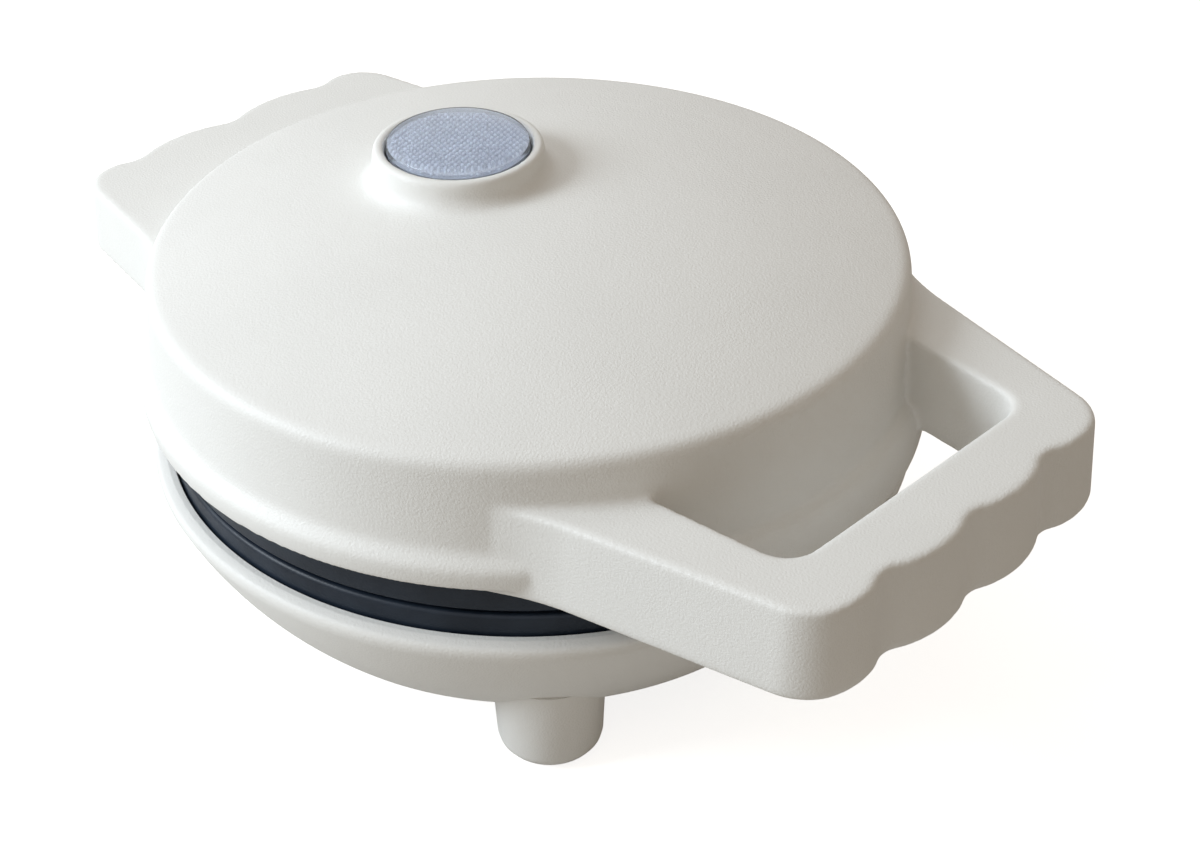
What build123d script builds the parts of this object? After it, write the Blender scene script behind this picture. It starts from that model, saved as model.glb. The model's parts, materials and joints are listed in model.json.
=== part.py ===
from build123d import *
import os
from math import cos, hypot, radians, sin, sqrt, tan

# A countertop maker for round bubble waffles: a bowl on four feet, two cast plates with a field of
# round cells, and a domed lid that swings on a hinge at the back. One moulding makes the lid, its
# finger loop in front and the hood that covers the hinge behind.
#
# The table is at z = 0 and the handle points along -Y. Every sub-part is drawn round the upright
# axis of the round body and moved along Y at the end, so that the origin is below the middle.

# Driving dimensions in millimetres: heights above the table
FLOOR_Z = 15.0  # underside of the bowl
RIM_Z = 45.9  # top of the bowl's rim
SEAM_Z = 51.0  # where the two plates meet
LIP_Z = 60.5  # underside of the lid's lip
BAND_Z = 67.6  # lower end of the side band
BEAD_Z = 65.2  # top of the lip's bead
HOOD_Z = 62.0  # underside of the hinge hood
HANDLE_Z = 58.0  # underside of the finger loop
DECK_Z = 78.0  # flat top of the finger loop and of the hood
EDGE_Z = 87.3  # rounded edge between the side band and the dome
DOME_Z = 97.0  # top of the dome
COLLAR_Z = 103.3  # rim of the collar round the lens

# Driving dimensions: radii and reaches from the body's axis
EDGE_R = 81.9
BAND_R = 83.4
LIP_R = 86.4
RIM_R = 85.5
RIM_IN_R = 81.8
BOWL_R = 67.8  # where the bowl's side turns into its floor
BOWL_MID_R, BOWL_MID_Z = 79.0, 29.9
PLATE_R = 81.2
FIELD_R = 74.8  # inside of the plates' sealing rim
GRIP_REACH = 119.0  # bottom of the valleys between the scallops of the finger loop
HOOD_REACH = 108.6
LOBE = 3.4  # how far a scallop stands out past the valleys beside it
DRAFT = 4.5  # degrees by which the loop and the hood widen towards the bottom

WALL = 2.6  # moulded wall
SHELL_R = EDGE_R - WALL
EDGE_ROUND = 4.0
LOBE_PITCH = 25.3
HOOD_PITCH = 28.0
VALLEY_ROUND = 4.0
DECK_ROUND, UNDER_ROUND = 2.8, 2.2
BAND_BLEND = 48.0  # radius of the flare from the side band into the loop's arms

# The loop's outline: half-widths at two distances in front of the axis
ARM_NEAR_Y, ARM_NEAR_X = -72.7, 53.0
ARM_FAR_Y, ARM_FAR_X = -110.7, 47.6
GAP_NEAR_Y, GAP_NEAR_X = -65.0, 40.0
GAP_FAR_Y, GAP_FAR_X = -106.2, 36.2
HOOD_NEAR_Y, HOOD_NEAR_X = 74.0, 49.5
HOOD_FAR_Y, HOOD_FAR_X = 104.0, 46.0
LIP_END_ANGLE = 44.2  # the lip stops this far to each side of the front
SKIRT_ANGLE = 31.5  # the finger guard in front reaches this far to each side
SKIRT_R, SKIRT_Z = 87.8, 50.9

# Hinge
PIVOT_Y, PIVOT_Z = 99.0, 62.5
PIN_R, PIN_HEAD_R = 2.5, 4.2
BUSH_R, BUSH_FLANGE_R, BUSH_LENGTH = 4.0, 5.6, 8.0
KNUCKLE_R, KNUCKLE_HALF = 6.8, 20.0
EAR_IN, EAR_OUT = 20.6, 25.0
RUNNING = 0.05  # radial clearance between a pin and its bush
FIT = 0.02  # clearance of parts that are pressed or moulded together
NOTCH_HALF, NOTCH_Z = 28.0, 72.0
BLOCK_HALF, BLOCK_REACH = 23.0, 103.0
BLOCK_LOW_Z, BLOCK_TOP_Z = 24.0, 49.0
BLOCK_WALL = 4.0

# Feet
FOOT_X, FOOT_Y = 41.1, 46.6
FOOT_TOP_R, FOOT_LOW_R, FOOT_TOP_Z = 12.2, 11.2, 22.0
PAD_R, PAD_STAND, PAD_DEPTH = 7.5, 0.6, 2.4

# Bubble plates, whose two faces are mirror images
CELL_PITCH = 24.0
CELL_RINGS = 3
CELL_LIMIT = 64.0  # no bubble is centred further out
CELL_R, CELL_DEPTH, CELL_SIDES = 10.3, 8.6, 12
FACE_DROP = 2.3  # the web between the bubbles is twice this thick
SEAM_GAP = 0.2  # half of the gap between the closed plates
PLATE_BODY = 15.0  # thickness behind the seam
PLATE_BODY_R = 74.5
FLANGE_DEPTH = 8.0
UPPER_FLANGE = 11.0

# Three countersunk screws hold each plate to posts in its shell, in gaps between the bubbles
SCREW_RING_R = 4 * CELL_PITCH / sqrt(3)
SCREW_R, SCREW_HEAD_R, SCREW_LENGTH = 1.5, 3.0, 22.0
POST_R = 4.5

# Heating
ELEMENT_IN_R, ELEMENT_OUT_R, ELEMENT_T = 36.0, 42.0, 5.0
ELEMENT_SWEEP = 320
ELEMENT_STEM_R, ELEMENT_STEM = 2.6, 9.0
SHIELD_R, SHIELD_T, SHIELD_DROP = 72.0, 0.8, 7.5
THERMOSTAT_R, THERMOSTAT_T = 8.0, 6.0

# Lens over the lamps
LENS_Y = 22.0
LENS_R, LENS_EDGE_Z, LENS_TOP_Z, LENS_WALL = 16.3, 102.0, 105.2, 1.8
LENS_FLANGE_R, LENS_SEAT_Z = 18.4, 96.4
LENS_GAP = 0.5
COLLAR_R, COLLAR_FOOT_R, COLLAR_BLEND = 19.2, 24.0, 5.0
LAMP_X, LAMP_R, LAMP_LENGTH = 6.5, 2.6, 9.0
HOLDER_T = 2.4

# Cord entry
GLAND_Z = 34.0
GLAND_BORE_R, GLAND_R, GLAND_LIP_R = 3.6, 6.0, 8.0
GLAND_LIP, GLAND_TAIL = 5.0, 2.0
CLAMP_T, CLAMP_Z = 3.0, GLAND_Z - 4.2

# Covers under the bowl and under the finger loop
COVER_HOLE_R, COVER_R, COVER_T = 38.0, 46.0, 1.8
GRIP_COVER_Z, GRIP_COVER_T = HANDLE_Z + 0.4, 2.0
GRIP_POST_R = 3.7  # runs into the walls on both sides

# The draft pushes the lower ends out. The body's axis is placed midway between the two ends.
SPREAD = tan(radians(DRAFT))
ROUNDED_OFF = UNDER_ROUND * (SPREAD + 1 / cos(radians(DRAFT)) - 1)
FRONT_END = GRIP_REACH + LOBE + (DECK_Z - HANDLE_Z) * SPREAD - ROUNDED_OFF
REAR_END = HOOD_REACH + LOBE + (DECK_Z - HOOD_Z) * SPREAD
AXIS_Y = (FRONT_END - REAR_END) / 2


def half_profile(points):
    """A closed face in the XZ plane from points of radius and height."""
    return Plane.XZ * make_face(Polyline(*points, close=True))


def turned(points):
    return revolve(half_profile(points), Axis.Z)


def ring(outer, inner, low, high, at=(0, 0)):
    """An upright tube, or a rod where the inner radius is none."""
    middle = Pos(at[0], at[1], (low + high) / 2)
    body = middle * Cylinder(outer, high - low)
    if inner:
        body -= middle * Cylinder(inner, high - low)
    return body


def slab(x, y, z):
    """A block between two limits on each axis."""
    size = (x[1] - x[0], y[1] - y[0], z[1] - z[0])
    return Pos((x[0] + x[1]) / 2, (y[0] + y[1]) / 2, (z[0] + z[1]) / 2) * Box(*size)


def round_corner(face, at, radius):
    """Rounds the corner of a flat face that lies nearest to a point."""
    return fillet(face.vertices().sort_by_distance(Vector(*at))[0:1], radius)


def around(count, radius, start=0.0):
    """Places evenly round a circle, as x and y."""
    turns = [radians(start + i * 360 / count) for i in range(count)]
    return [(radius * cos(a), radius * sin(a)) for a in turns]


def rod_x(radius, start, end, y, z):
    """A round rod along X."""
    return Pos((start + end) / 2, y, z) * Rot(0, 90, 0) * Cylinder(radius, end - start)


def both_sides(shape):
    """A shape and its mirror image across the middle plane."""
    return shape + mirror(shape, Plane.YZ)


def group(shapes):
    """Separate pieces of one kind."""
    return Part() + list(shapes)


# Lid moulding

def scalloped_edge(half, reach, pitch, side):
    """Four arcs that meet in three valleys, across the end of the loop or of the hood."""
    stops = [-half, -pitch, 0.0, pitch, half]
    arcs = []
    for a, b in zip(stops[:-1], stops[1:]):
        middle = ((a + b) / 2, side * (reach + LOBE))
        arcs.append(ThreePointArc((a, side * reach), middle, (b, side * reach)))
    return arcs


def loop_outline(near, far, reach, pitch, side):
    """The face of the finger loop or the hood, with the flare that runs into the round side band."""
    near_y, near_x = near
    far_y, far_x = far
    slope = (near_x - far_x) / (near_y - far_y)
    end_x = far_x + slope * (side * reach - far_y)
    root_x = near_x - slope * near_y
    edges = scalloped_edge(end_x, reach, pitch, side)
    edges.append(Polyline((end_x, side * reach), (root_x, 0), (-root_x, 0), (-end_x, side * reach)))
    face = make_face(edges)
    for x in (-pitch, 0, pitch):
        face = round_corner(face, (x, side * reach, 0), VALLEY_ROUND)
    for x in (-end_x, end_x):
        face = round_corner(face, (x, side * reach, 0), 2 * VALLEY_ROUND)
    root_r = EDGE_R + 0.1
    whole = face + Circle(root_r)
    corner_y = near_y
    for _ in range(8):
        corner_x = near_x + slope * (corner_y - near_y)
        corner_y = side * sqrt(root_r**2 - corner_x**2)
    for x in (-corner_x, corner_x):
        whole = round_corner(whole, (x, corner_y, 0), BAND_BLEND)
    keep = Pos(0, side * 100) * Rectangle(240, 100)
    return (whole & keep) - Circle(SHELL_R)


def drafted(face, low, high):
    """Extrudes a face down from its top with walls that widen downwards."""
    return extrude(Pos(0, 0, high) * face, amount=-(high - low), taper=-DRAFT)


def finger_gap():
    """The face of the opening that the fingers go through."""
    near_left, near_right = (-GAP_NEAR_X, GAP_NEAR_Y), (GAP_NEAR_X, GAP_NEAR_Y)
    far_left, far_right = (-GAP_FAR_X, GAP_FAR_Y), (GAP_FAR_X, GAP_FAR_Y)
    face = make_face(Polyline(near_left, far_left, far_right, near_right, close=True))
    for x in (-GAP_FAR_X, GAP_FAR_X):
        face = round_corner(face, (x, GAP_FAR_Y, 0), 7)
    return face


def loop_face():
    near, far = (ARM_NEAR_Y, ARM_NEAR_X), (ARM_FAR_Y, ARM_FAR_X)
    return loop_outline(near, far, GRIP_REACH, LOBE_PITCH, -1) - finger_gap()


def hood_face():
    near, far = (HOOD_NEAR_Y, HOOD_NEAR_X), (HOOD_FAR_Y, HOOD_FAR_X)
    return loop_outline(near, far, HOOD_REACH, HOOD_PITCH, 1)


def soft_edges(solid, height, radius):
    """Rounds the edges at one height, apart from those buried in the round body."""
    level = [e for e in solid.edges() if abs(e.center().Z - height) < 0.01]
    outer = [e for e in level if hypot((e @ 0.5).X, (e @ 0.5).Y) > EDGE_R + 1]
    return fillet(outer, radius)


def dome_and_band():
    """The round body of the lid as a solid: dome, rounded edge, side band and lip."""
    points = [(BAND_R, BAND_Z), (LIP_R, BEAD_Z), (LIP_R - 0.4, LIP_Z), (0, LIP_Z), (0, COLLAR_Z)]
    rise = COLLAR_Z - EDGE_Z
    points.append((EDGE_R - rise * (BAND_R - EDGE_R) / (EDGE_Z - BAND_Z), COLLAR_Z))
    face = make_face(Polyline(*points, close=True))
    face = round_corner(face, (LIP_R, BEAD_Z, 0), 2.6)
    face = round_corner(face, (BAND_R, BAND_Z, 0), 2.6)
    body = revolve(Plane.XZ * face, Axis.Z) & dome_ball()
    return fillet(body.edges().filter_by(GeomType.CIRCLE).group_by(Axis.Z)[-1], EDGE_ROUND)


def dome_ball():
    """The great ball whose cap is the dome. Its poles lie sideways, clear of the cap."""
    rise = DOME_Z - EDGE_Z
    radius = (EDGE_R**2 + rise**2) / (2 * rise)
    return Pos(0, 0, DOME_Z - radius) * Rot(0, 90, 0) * Sphere(radius)


def lip_gap(middle):
    """The stretch of the lip that is left out round a direction, in degrees from the front."""
    outer, inner = LIP_R + 4, BAND_R + 0.3
    stretch = half_profile([(inner, LIP_Z - 1), (outer, LIP_Z - 1), (outer, BAND_Z), (inner, BAND_Z)])
    cut = revolve(stretch, Axis.Z, revolution_arc=2 * LIP_END_ANGLE)
    return Rot(0, 0, middle - LIP_END_ANGLE - 90) * cut


def skirt():
    """The finger guard: a deeper lip in front, between the arms, that covers the hot plates' edge."""
    inner = SKIRT_R - WALL
    points = [(BAND_R - 0.8, BAND_Z - 4.4), (BAND_R - 0.2, BAND_Z - 4.4), (SKIRT_R - 1.3, LIP_Z - 1.1)]
    points += [(SKIRT_R, LIP_Z - 5.1), (SKIRT_R, SKIRT_Z + 0.6), (SKIRT_R - 0.6, SKIRT_Z)]
    points += [(inner, SKIRT_Z), (inner, LIP_Z - 3.7), (BAND_R - 0.8, LIP_Z - 0.3)]
    face = make_face(Polyline(*points, close=True))
    face = round_corner(face, (SKIRT_R - 1.3, LIP_Z - 1.1, 0), 3.0)
    guard = revolve(Plane.XZ * face, Axis.Z, revolution_arc=2 * SKIRT_ANGLE)
    return Rot(0, 0, -SKIRT_ANGLE - 90) * guard


def lid_cavity():
    """The hollow inside the round body."""
    roof_z, wall_z = DOME_Z - WALL, EDGE_Z - WALL
    roof = TangentArc((0, roof_z), (SHELL_R, wall_z), tangent=(1, 0))
    low = HANDLE_Z - 1
    side = Polyline((SHELL_R, wall_z), (BAND_R - WALL, BAND_Z), (PLATE_R + 0.8, LIP_Z + 3),
                    (PLATE_R + 0.8, low), (0, low), (0, roof_z))
    return revolve(Plane.XZ * make_face([roof, side]), Axis.Z)


def lens_collar():
    """The raised collar round the lens, which blends into the dome."""
    rim = COLLAR_R - 1.2
    points = [(0, EDGE_Z), (COLLAR_FOOT_R, EDGE_Z), (COLLAR_FOOT_R, DOME_Z - 4)]
    points += [(COLLAR_R + 0.8, COLLAR_Z - 1.2)]
    points += [(COLLAR_R, COLLAR_Z - 0.2), (rim, COLLAR_Z), (0, COLLAR_Z)]
    return Pos(0, LENS_Y, 0) * turned(points)


def lens_well():
    """What the lens needs clear: its hole and the wider seat for its flange behind."""
    hole = LENS_R + LENS_GAP
    seat = LENS_FLANGE_R + LENS_GAP
    points = [(0, DOME_Z - 8), (seat, DOME_Z - 8), (seat, LENS_SEAT_Z), (hole, LENS_SEAT_Z)]
    points += [(hole, COLLAR_Z - 1), (hole + 0.6, COLLAR_Z + 1), (0, COLLAR_Z + 1)]
    return Pos(0, LENS_Y, 0) * turned(points)


def grip_pocket(inset, low, high):
    """Room inside the finger loop, a wall's thickness in from its outline."""
    face = offset(loop_face(), -inset) - Circle(BAND_R + 3.5)
    return extrude(Pos(0, 0, low) * face, amount=high - low)


def grip_screw_places():
    side_x, side_y = (ARM_NEAR_X + GAP_NEAR_X) / 2 - 1.6, ARM_NEAR_Y - 12
    front_y = -(GRIP_REACH - GAP_FAR_Y) / 2
    return [(-side_x, side_y), (side_x, side_y), (0.0, front_y)]


def hood_room():
    """The hollow of the hinge hood, open below."""
    face = offset(hood_face(), -WALL) - Circle(BAND_R + 0.6)
    return extrude(Pos(0, 0, HOOD_Z - 1) * face, amount=DECK_Z - WALL - HOOD_Z + 1)


def hinge_ears():
    """Two ears inside the hood that hold the pins."""
    ear = slab((EAR_IN, EAR_OUT), (PIVOT_Y - 6, PIVOT_Y + 6), (PIVOT_Z, DECK_Z - WALL + 0.5))
    ear += rod_x(6, EAR_IN, EAR_OUT, PIVOT_Y, PIVOT_Z)
    ear -= rod_x(PIN_R + FIT, EAR_IN - 1, EAR_OUT + 1, PIVOT_Y, PIVOT_Z)
    return both_sides(ear)


def screw_places():
    return around(3, SCREW_RING_R, 90)


def lid_shell():
    loop = soft_edges(drafted(loop_face(), HANDLE_Z, DECK_Z), DECK_Z, DECK_ROUND)
    loop = soft_edges(loop, HANDLE_Z, UNDER_ROUND)
    hood = soft_edges(drafted(hood_face(), HOOD_Z, DECK_Z), DECK_Z, DECK_ROUND)
    body = dome_and_band() - lip_gap(0) - lip_gap(180)
    body += lens_collar()
    body = fillet(body.edges().filter_by(GeomType.BSPLINE), COLLAR_BLEND)
    body += loop
    body += hood
    body += skirt()
    body -= lid_cavity()
    body -= lens_well()
    body -= hood_room()
    body -= grip_pocket(2.0, HANDLE_Z - 1, GRIP_COVER_Z + GRIP_COVER_T)
    body -= grip_pocket(3.2, HANDLE_Z, DECK_Z - WALL)
    body -= slab((-NOTCH_HALF, NOTCH_HALF), (PIVOT_Y, HOOD_REACH + 8), (HOOD_Z - 1, NOTCH_Z))
    body += hinge_ears()
    post_low = SEAM_Z + PLATE_BODY
    for x, y in screw_places():
        body += ring(POST_R, SCREW_R + FIT, post_low, EDGE_Z + 3.5, (x, y))
    for x, y in grip_screw_places():
        body += ring(GRIP_POST_R, SCREW_R + FIT, GRIP_COVER_Z + GRIP_COVER_T, DECK_Z - WALL + 0.2, (x, y))
    return body


def grip_cover():
    """The plate that closes the underside of the finger loop."""
    cover = grip_pocket(2.0 + FIT, GRIP_COVER_Z, GRIP_COVER_Z + GRIP_COVER_T)
    for x, y in grip_screw_places():
        cover -= ring(SCREW_R + 0.2, 0, GRIP_COVER_Z - 1, GRIP_COVER_Z + GRIP_COVER_T + 1, (x, y))
    return cover


def pan_screw(x, y, seat_z, length, up=1):
    """A screw with a flat round head below its seat, or above it where up is -1."""
    low, high = sorted((seat_z, seat_z + up * length))
    head_low, head_high = sorted((seat_z, seat_z - up * 1.6))
    return ring(SCREW_R, 0, low, high, (x, y)) + ring(SCREW_HEAD_R, 0, head_low, head_high, (x, y))


def grip_screws():
    return group(pan_screw(x, y, GRIP_COVER_Z, 12) for x, y in grip_screw_places())


# Plates and heating

def cell_places():
    """Centres of the bubbles on a lattice of equal triangles."""
    places = []
    for i in range(-CELL_RINGS, CELL_RINGS + 1):
        for j in range(-CELL_RINGS, CELL_RINGS + 1):
            x = CELL_PITCH * (i + j / 2)
            y = CELL_PITCH * j * sqrt(3) / 2
            if hypot(x, y) < CELL_LIMIT:
                places.append((x, y))
    return places


def cell_ring(radius, depth):
    return Pos(0, 0, -depth) * RegularPolygon(radius, CELL_SIDES)


def bubble():
    """One half bubble below z = 0: flat-sided rings that follow a ball."""
    angles = (0, 35, 66)
    rings = [cell_ring(CELL_R * cos(radians(a)), CELL_DEPTH * sin(radians(a))) for a in angles]
    return loft(rings, ruled=True)


def plate_below():
    """The lower plate with its face up. Its flange is the dark edge that shows all round."""
    face_z = SEAM_Z - SEAM_GAP
    web_z = face_z - FACE_DROP
    back_z = SEAM_Z - PLATE_BODY
    flange_z = SEAM_Z - FLANGE_DEPTH
    points = [(0, back_z), (PLATE_BODY_R, back_z), (PLATE_BODY_R, flange_z), (PLATE_R, flange_z)]
    points += [(PLATE_R, face_z - 0.8), (PLATE_R - 0.8, face_z), (FIELD_R, face_z)]
    points += [(FIELD_R - 1, web_z), (0, web_z)]
    return with_bubbles(turned(points), web_z)


def with_bubbles(plate, web_z):
    cell = bubble()
    plate -= [Pos(x, y, web_z) * cell for x, y in cell_places()]
    for x, y in screw_places():
        plate -= Pos(x, y, web_z) * countersink()
    return plate


def countersink():
    """The hole that one plate screw needs, below z = 0."""
    depth = SCREW_HEAD_R - SCREW_R
    hole = SCREW_R + 0.15
    points = [(0, 0), (SCREW_HEAD_R + 0.1, 0), (hole, -depth), (hole, -PLATE_BODY), (0, -PLATE_BODY)]
    return turned(points)


def plate_screws_below():
    """Screws flush with the web between the bubbles."""
    web_z = SEAM_Z - SEAM_GAP - FACE_DROP
    depth = SCREW_HEAD_R - SCREW_R
    points = [(0, 0), (SCREW_HEAD_R, 0), (SCREW_R, -depth), (SCREW_R, -SCREW_LENGTH), (0, -SCREW_LENGTH)]
    screw = turned(points)
    return group(Pos(x, y, web_z) * screw for x, y in screw_places())


def element_below():
    """The heating tube, pressed flat against the back of the plate, and its two stems."""
    top = SEAM_Z - PLATE_BODY
    low = top - ELEMENT_T
    points = [(ELEMENT_IN_R, top), (ELEMENT_OUT_R, top), (ELEMENT_OUT_R - 1.5, low)]
    points += [(ELEMENT_IN_R + 1.5, low)]
    bar = half_profile(points)
    tube = Rot(0, 0, (360 - ELEMENT_SWEEP) / 2 + 90) * revolve(bar, Axis.Z, revolution_arc=ELEMENT_SWEEP)
    return tube + [ring(ELEMENT_STEM_R, 0, low - ELEMENT_STEM, low + 1, place) for place in stem_places()]


def stem_places():
    middle = (ELEMENT_IN_R + ELEMENT_OUT_R) / 2
    half_gap = radians((360 - ELEMENT_SWEEP) / 2 + 6)
    return [(side * middle * sin(half_gap), middle * cos(half_gap)) for side in (-1, 1)]


def end_caps_below():
    """Ceramic sleeves on the ends of the heating tube."""
    top = SEAM_Z - PLATE_BODY - ELEMENT_T
    low = top - ELEMENT_STEM + 2
    sleeve = ring(ELEMENT_STEM_R + 1.8, ELEMENT_STEM_R + FIT, low, top - 3)
    return group(Pos(x, y, 0) * sleeve for x, y in stem_places())


def shield_below():
    """A thin dish that keeps the heat off the moulding."""
    z = SEAM_Z - PLATE_BODY - SHIELD_DROP
    wall = SHIELD_R - 3
    points = [(0, z), (wall, z), (SHIELD_R, z + 5), (SHIELD_R, z + 5 + SHIELD_T)]
    points += [(wall - 0.6, z + SHIELD_T), (0, z + SHIELD_T)]
    dish = turned(points)
    for place in screw_places():
        dish -= ring(POST_R + 0.6, 0, z - 1, z + 2, place)
    for place in stem_places():
        dish -= ring(ELEMENT_STEM_R + 3, 0, z - 1, z + 2, place)
    return dish - ring(THERMOSTAT_R + 0.6, 0, z - 1, z + 2)


def above(shape):
    """The same piece in the lid: its mirror image across the seam."""
    return mirror(shape, Plane.XY.offset(SEAM_Z))


def plate_above():
    """The upper plate. Its edge runs up behind the lip of the lid."""
    plate = above(plate_below())
    top = SEAM_Z + UPPER_FLANGE
    return plate + ring(PLATE_R, PLATE_BODY_R - 0.5, SEAM_Z + FLANGE_DEPTH - 1, top)


def thermostat():
    """The disc thermostat that holds the baking heat, on the middle of the upper plate."""
    back = SEAM_Z + PLATE_BODY
    disc = ring(THERMOSTAT_R, 0, back, back + THERMOSTAT_T)
    top = back + THERMOSTAT_T
    return disc + [slab((x - 0.4, x + 0.4), (-3, 3), (top - 0.5, top + 7)) for x in (-4, 4)]


def thermal_fuse():
    """The one-shot fuse in its clip, on the middle of the lower plate."""
    back = SEAM_Z - PLATE_BODY
    clip = slab((-7, 7), (-5, 5), (back - 1, back))
    barrel = rod_x(2.2, -9, 9, 0, back - 3)
    return clip + barrel


# Lens and lamps

def lens():
    """The domed window over the lamps, with a skirt and a flange behind the collar."""
    foot = LENS_SEAT_Z - LENS_WALL
    skirt = domed_rod(LENS_R, LENS_EDGE_Z, LENS_TOP_Z, foot)
    skirt += ring(LENS_FLANGE_R, 0, foot, LENS_SEAT_Z)
    hollow = domed_rod(LENS_R - LENS_WALL, LENS_EDGE_Z - LENS_WALL, LENS_TOP_Z - LENS_WALL, foot - 1)
    return Pos(0, LENS_Y, 0) * (skirt - hollow)


def domed_rod(radius, edge_z, top_z, low_z):
    """An upright rod with a shallow domed end."""
    dome = TangentArc((0, top_z), (radius, edge_z), tangent=(1, 0))
    side = Polyline((radius, edge_z), (radius, low_z), (0, low_z), (0, top_z))
    return revolve(Plane.XZ * make_face([dome, side]), Axis.Z)


def lamp_holder():
    """A bridge across the back of the lens that the two lamps stand in."""
    top = LENS_SEAT_Z - LENS_WALL
    low = top - HOLDER_T
    holder = ring(LENS_FLANGE_R, 0, low, top, (0, LENS_Y))
    holder &= slab((-LENS_FLANGE_R, LENS_FLANGE_R), (LENS_Y - 7, LENS_Y + 7), (low, top))
    for x in (-LAMP_X, LAMP_X):
        holder -= ring(LAMP_R + FIT, 0, low - 1, top + 1, (x, LENS_Y))
    return holder


def neon_lamp(x):
    """A small glass lamp with a round tip."""
    low = LENS_SEAT_Z - LENS_WALL - HOLDER_T - 3
    tip = low + LAMP_LENGTH
    body = ring(LAMP_R, 0, low, tip, (x, LENS_Y))
    return fillet(body.edges().sort_by(Axis.Z)[-1:], LAMP_R * 0.7)


# Base

def bowl_outside():
    """The bowl as a solid: floor, round side, bead and the sloping ledge round the plate."""
    side = ThreePointArc((BOWL_R, FLOOR_Z), (BOWL_MID_R, BOWL_MID_Z), (RIM_R, RIM_Z - 2.7))
    ledge = Polyline((RIM_R, RIM_Z - 2.7), (RIM_R - 0.3, RIM_Z - 1.4), (RIM_R - 1.3, RIM_Z - 0.9),
                     (RIM_R - 1.8, RIM_Z - 1.4), (RIM_R - 2.3, RIM_Z - 0.7), (RIM_IN_R, RIM_Z), (0, RIM_Z))
    floor = Polyline((0, RIM_Z), (0, FLOOR_Z), (BOWL_R, FLOOR_Z))
    face = make_face([side, ledge, floor])
    face = round_corner(face, (BOWL_R, FLOOR_Z, 0), 4.0)
    return revolve(Plane.XZ * face, Axis.Z)


def bowl_inside():
    """The hollow of the bowl, with the step that carries the plate's flange."""
    inner = BOWL_R - WALL
    low = FLOOR_Z + WALL
    step = SEAM_Z - FLANGE_DEPTH
    side = ThreePointArc((inner, low), (BOWL_MID_R - WALL, BOWL_MID_Z + 0.5), (RIM_R - 6, step - 2))
    neck = Polyline((RIM_R - 6, step - 2), (PLATE_BODY_R + 1.6, step - 1), (PLATE_BODY_R + 1.6, step),
                    (RIM_IN_R, step), (RIM_IN_R, SEAM_Z + 10), (0, SEAM_Z + 10), (0, low), (inner, low))
    return revolve(Plane.XZ * make_face([side, neck]), Axis.Z)


def foot_places():
    return [(x, y) for x in (-FOOT_X, FOOT_X) for y in (-FOOT_Y, FOOT_Y)]


def foot():
    """A post that tapers down to a round end, with a pocket for its pad."""
    post = turned([(0, PAD_STAND), (FOOT_LOW_R, PAD_STAND), (FOOT_TOP_R, FOOT_TOP_Z), (0, FOOT_TOP_Z)])
    return fillet(post.edges().sort_by(Axis.Z)[0:1], 3.5)


def foot_pad(x, y):
    return ring(PAD_R, 0, 0, PAD_STAND + PAD_DEPTH, (x, y))


def hinge_block():
    """The block behind the bowl: its neck carries the knuckle, and the cord comes in below."""
    block = slab((-BLOCK_HALF, BLOCK_HALF), (60, BLOCK_REACH), (BLOCK_LOW_Z, BLOCK_TOP_Z))
    block = fillet(block.edges().filter_by(Axis.Z).group_by(Axis.Y)[-1], 6)
    block = fillet(block.faces().sort_by(Axis.Z)[0].edges().sort_by(Axis.Y)[-3:], 3)
    neck = slab((-KNUCKLE_HALF, KNUCKLE_HALF), (PIVOT_Y - 6, PIVOT_Y + 4), (BLOCK_TOP_Z - 4, PIVOT_Z))
    knuckle = rod_x(KNUCKLE_R, -KNUCKLE_HALF, KNUCKLE_HALF, PIVOT_Y, PIVOT_Z)
    return block + neck + knuckle


def block_room():
    """The room inside the block for the cord and its clamp."""
    half = BLOCK_HALF - BLOCK_WALL
    return slab((-half, half), (60, BLOCK_REACH - BLOCK_WALL), (BLOCK_LOW_Z + 3, BLOCK_TOP_Z - BLOCK_WALL))


def cover_screw_places():
    return around(3, COVER_HOLE_R + 4, 30)


def clamp_screw_places():
    return [(x, BLOCK_REACH - BLOCK_WALL - 10) for x in (-10, 10)]


def base_shell():
    shell = bowl_outside()
    post = foot()
    shell += [Pos(x, y, 0) * post for x, y in foot_places()]
    shell += hinge_block()
    shell -= bowl_inside()
    shell -= block_room() - ring(RIM_IN_R + 3, 0, SEAM_Z - FLANGE_DEPTH - 2, SEAM_Z)
    shell -= rod_x(BUSH_R, -KNUCKLE_HALF - 1, KNUCKLE_HALF + 1, PIVOT_Y, PIVOT_Z)
    shell -= Pos(0, BLOCK_REACH, GLAND_Z) * Rot(90, 0, 0) * Cylinder(GLAND_R + FIT, 3 * BLOCK_WALL)
    for x, y in foot_places():
        shell -= ring(PAD_R + FIT, 0, 0, PAD_STAND + PAD_DEPTH, (x, y))
    shell -= ring(COVER_HOLE_R, 0, FLOOR_Z - 1, FLOOR_Z + WALL + 1)
    post_top = SEAM_Z - PLATE_BODY
    for x, y in screw_places():
        shell += ring(POST_R, SCREW_R + FIT, FLOOR_Z + 1, post_top, (x, y))
    for x, y in cover_screw_places():
        shell += ring(3.2, 0, FLOOR_Z, FLOOR_Z + 9, (x, y))
        shell -= ring(SCREW_R + FIT, 0, FLOOR_Z - 1, FLOOR_Z + 10, (x, y))
    for x, y in clamp_screw_places():
        shell += ring(3.2, SCREW_R + FIT, BLOCK_LOW_Z + 2, CLAMP_Z, (x, y))
    return shell


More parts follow.
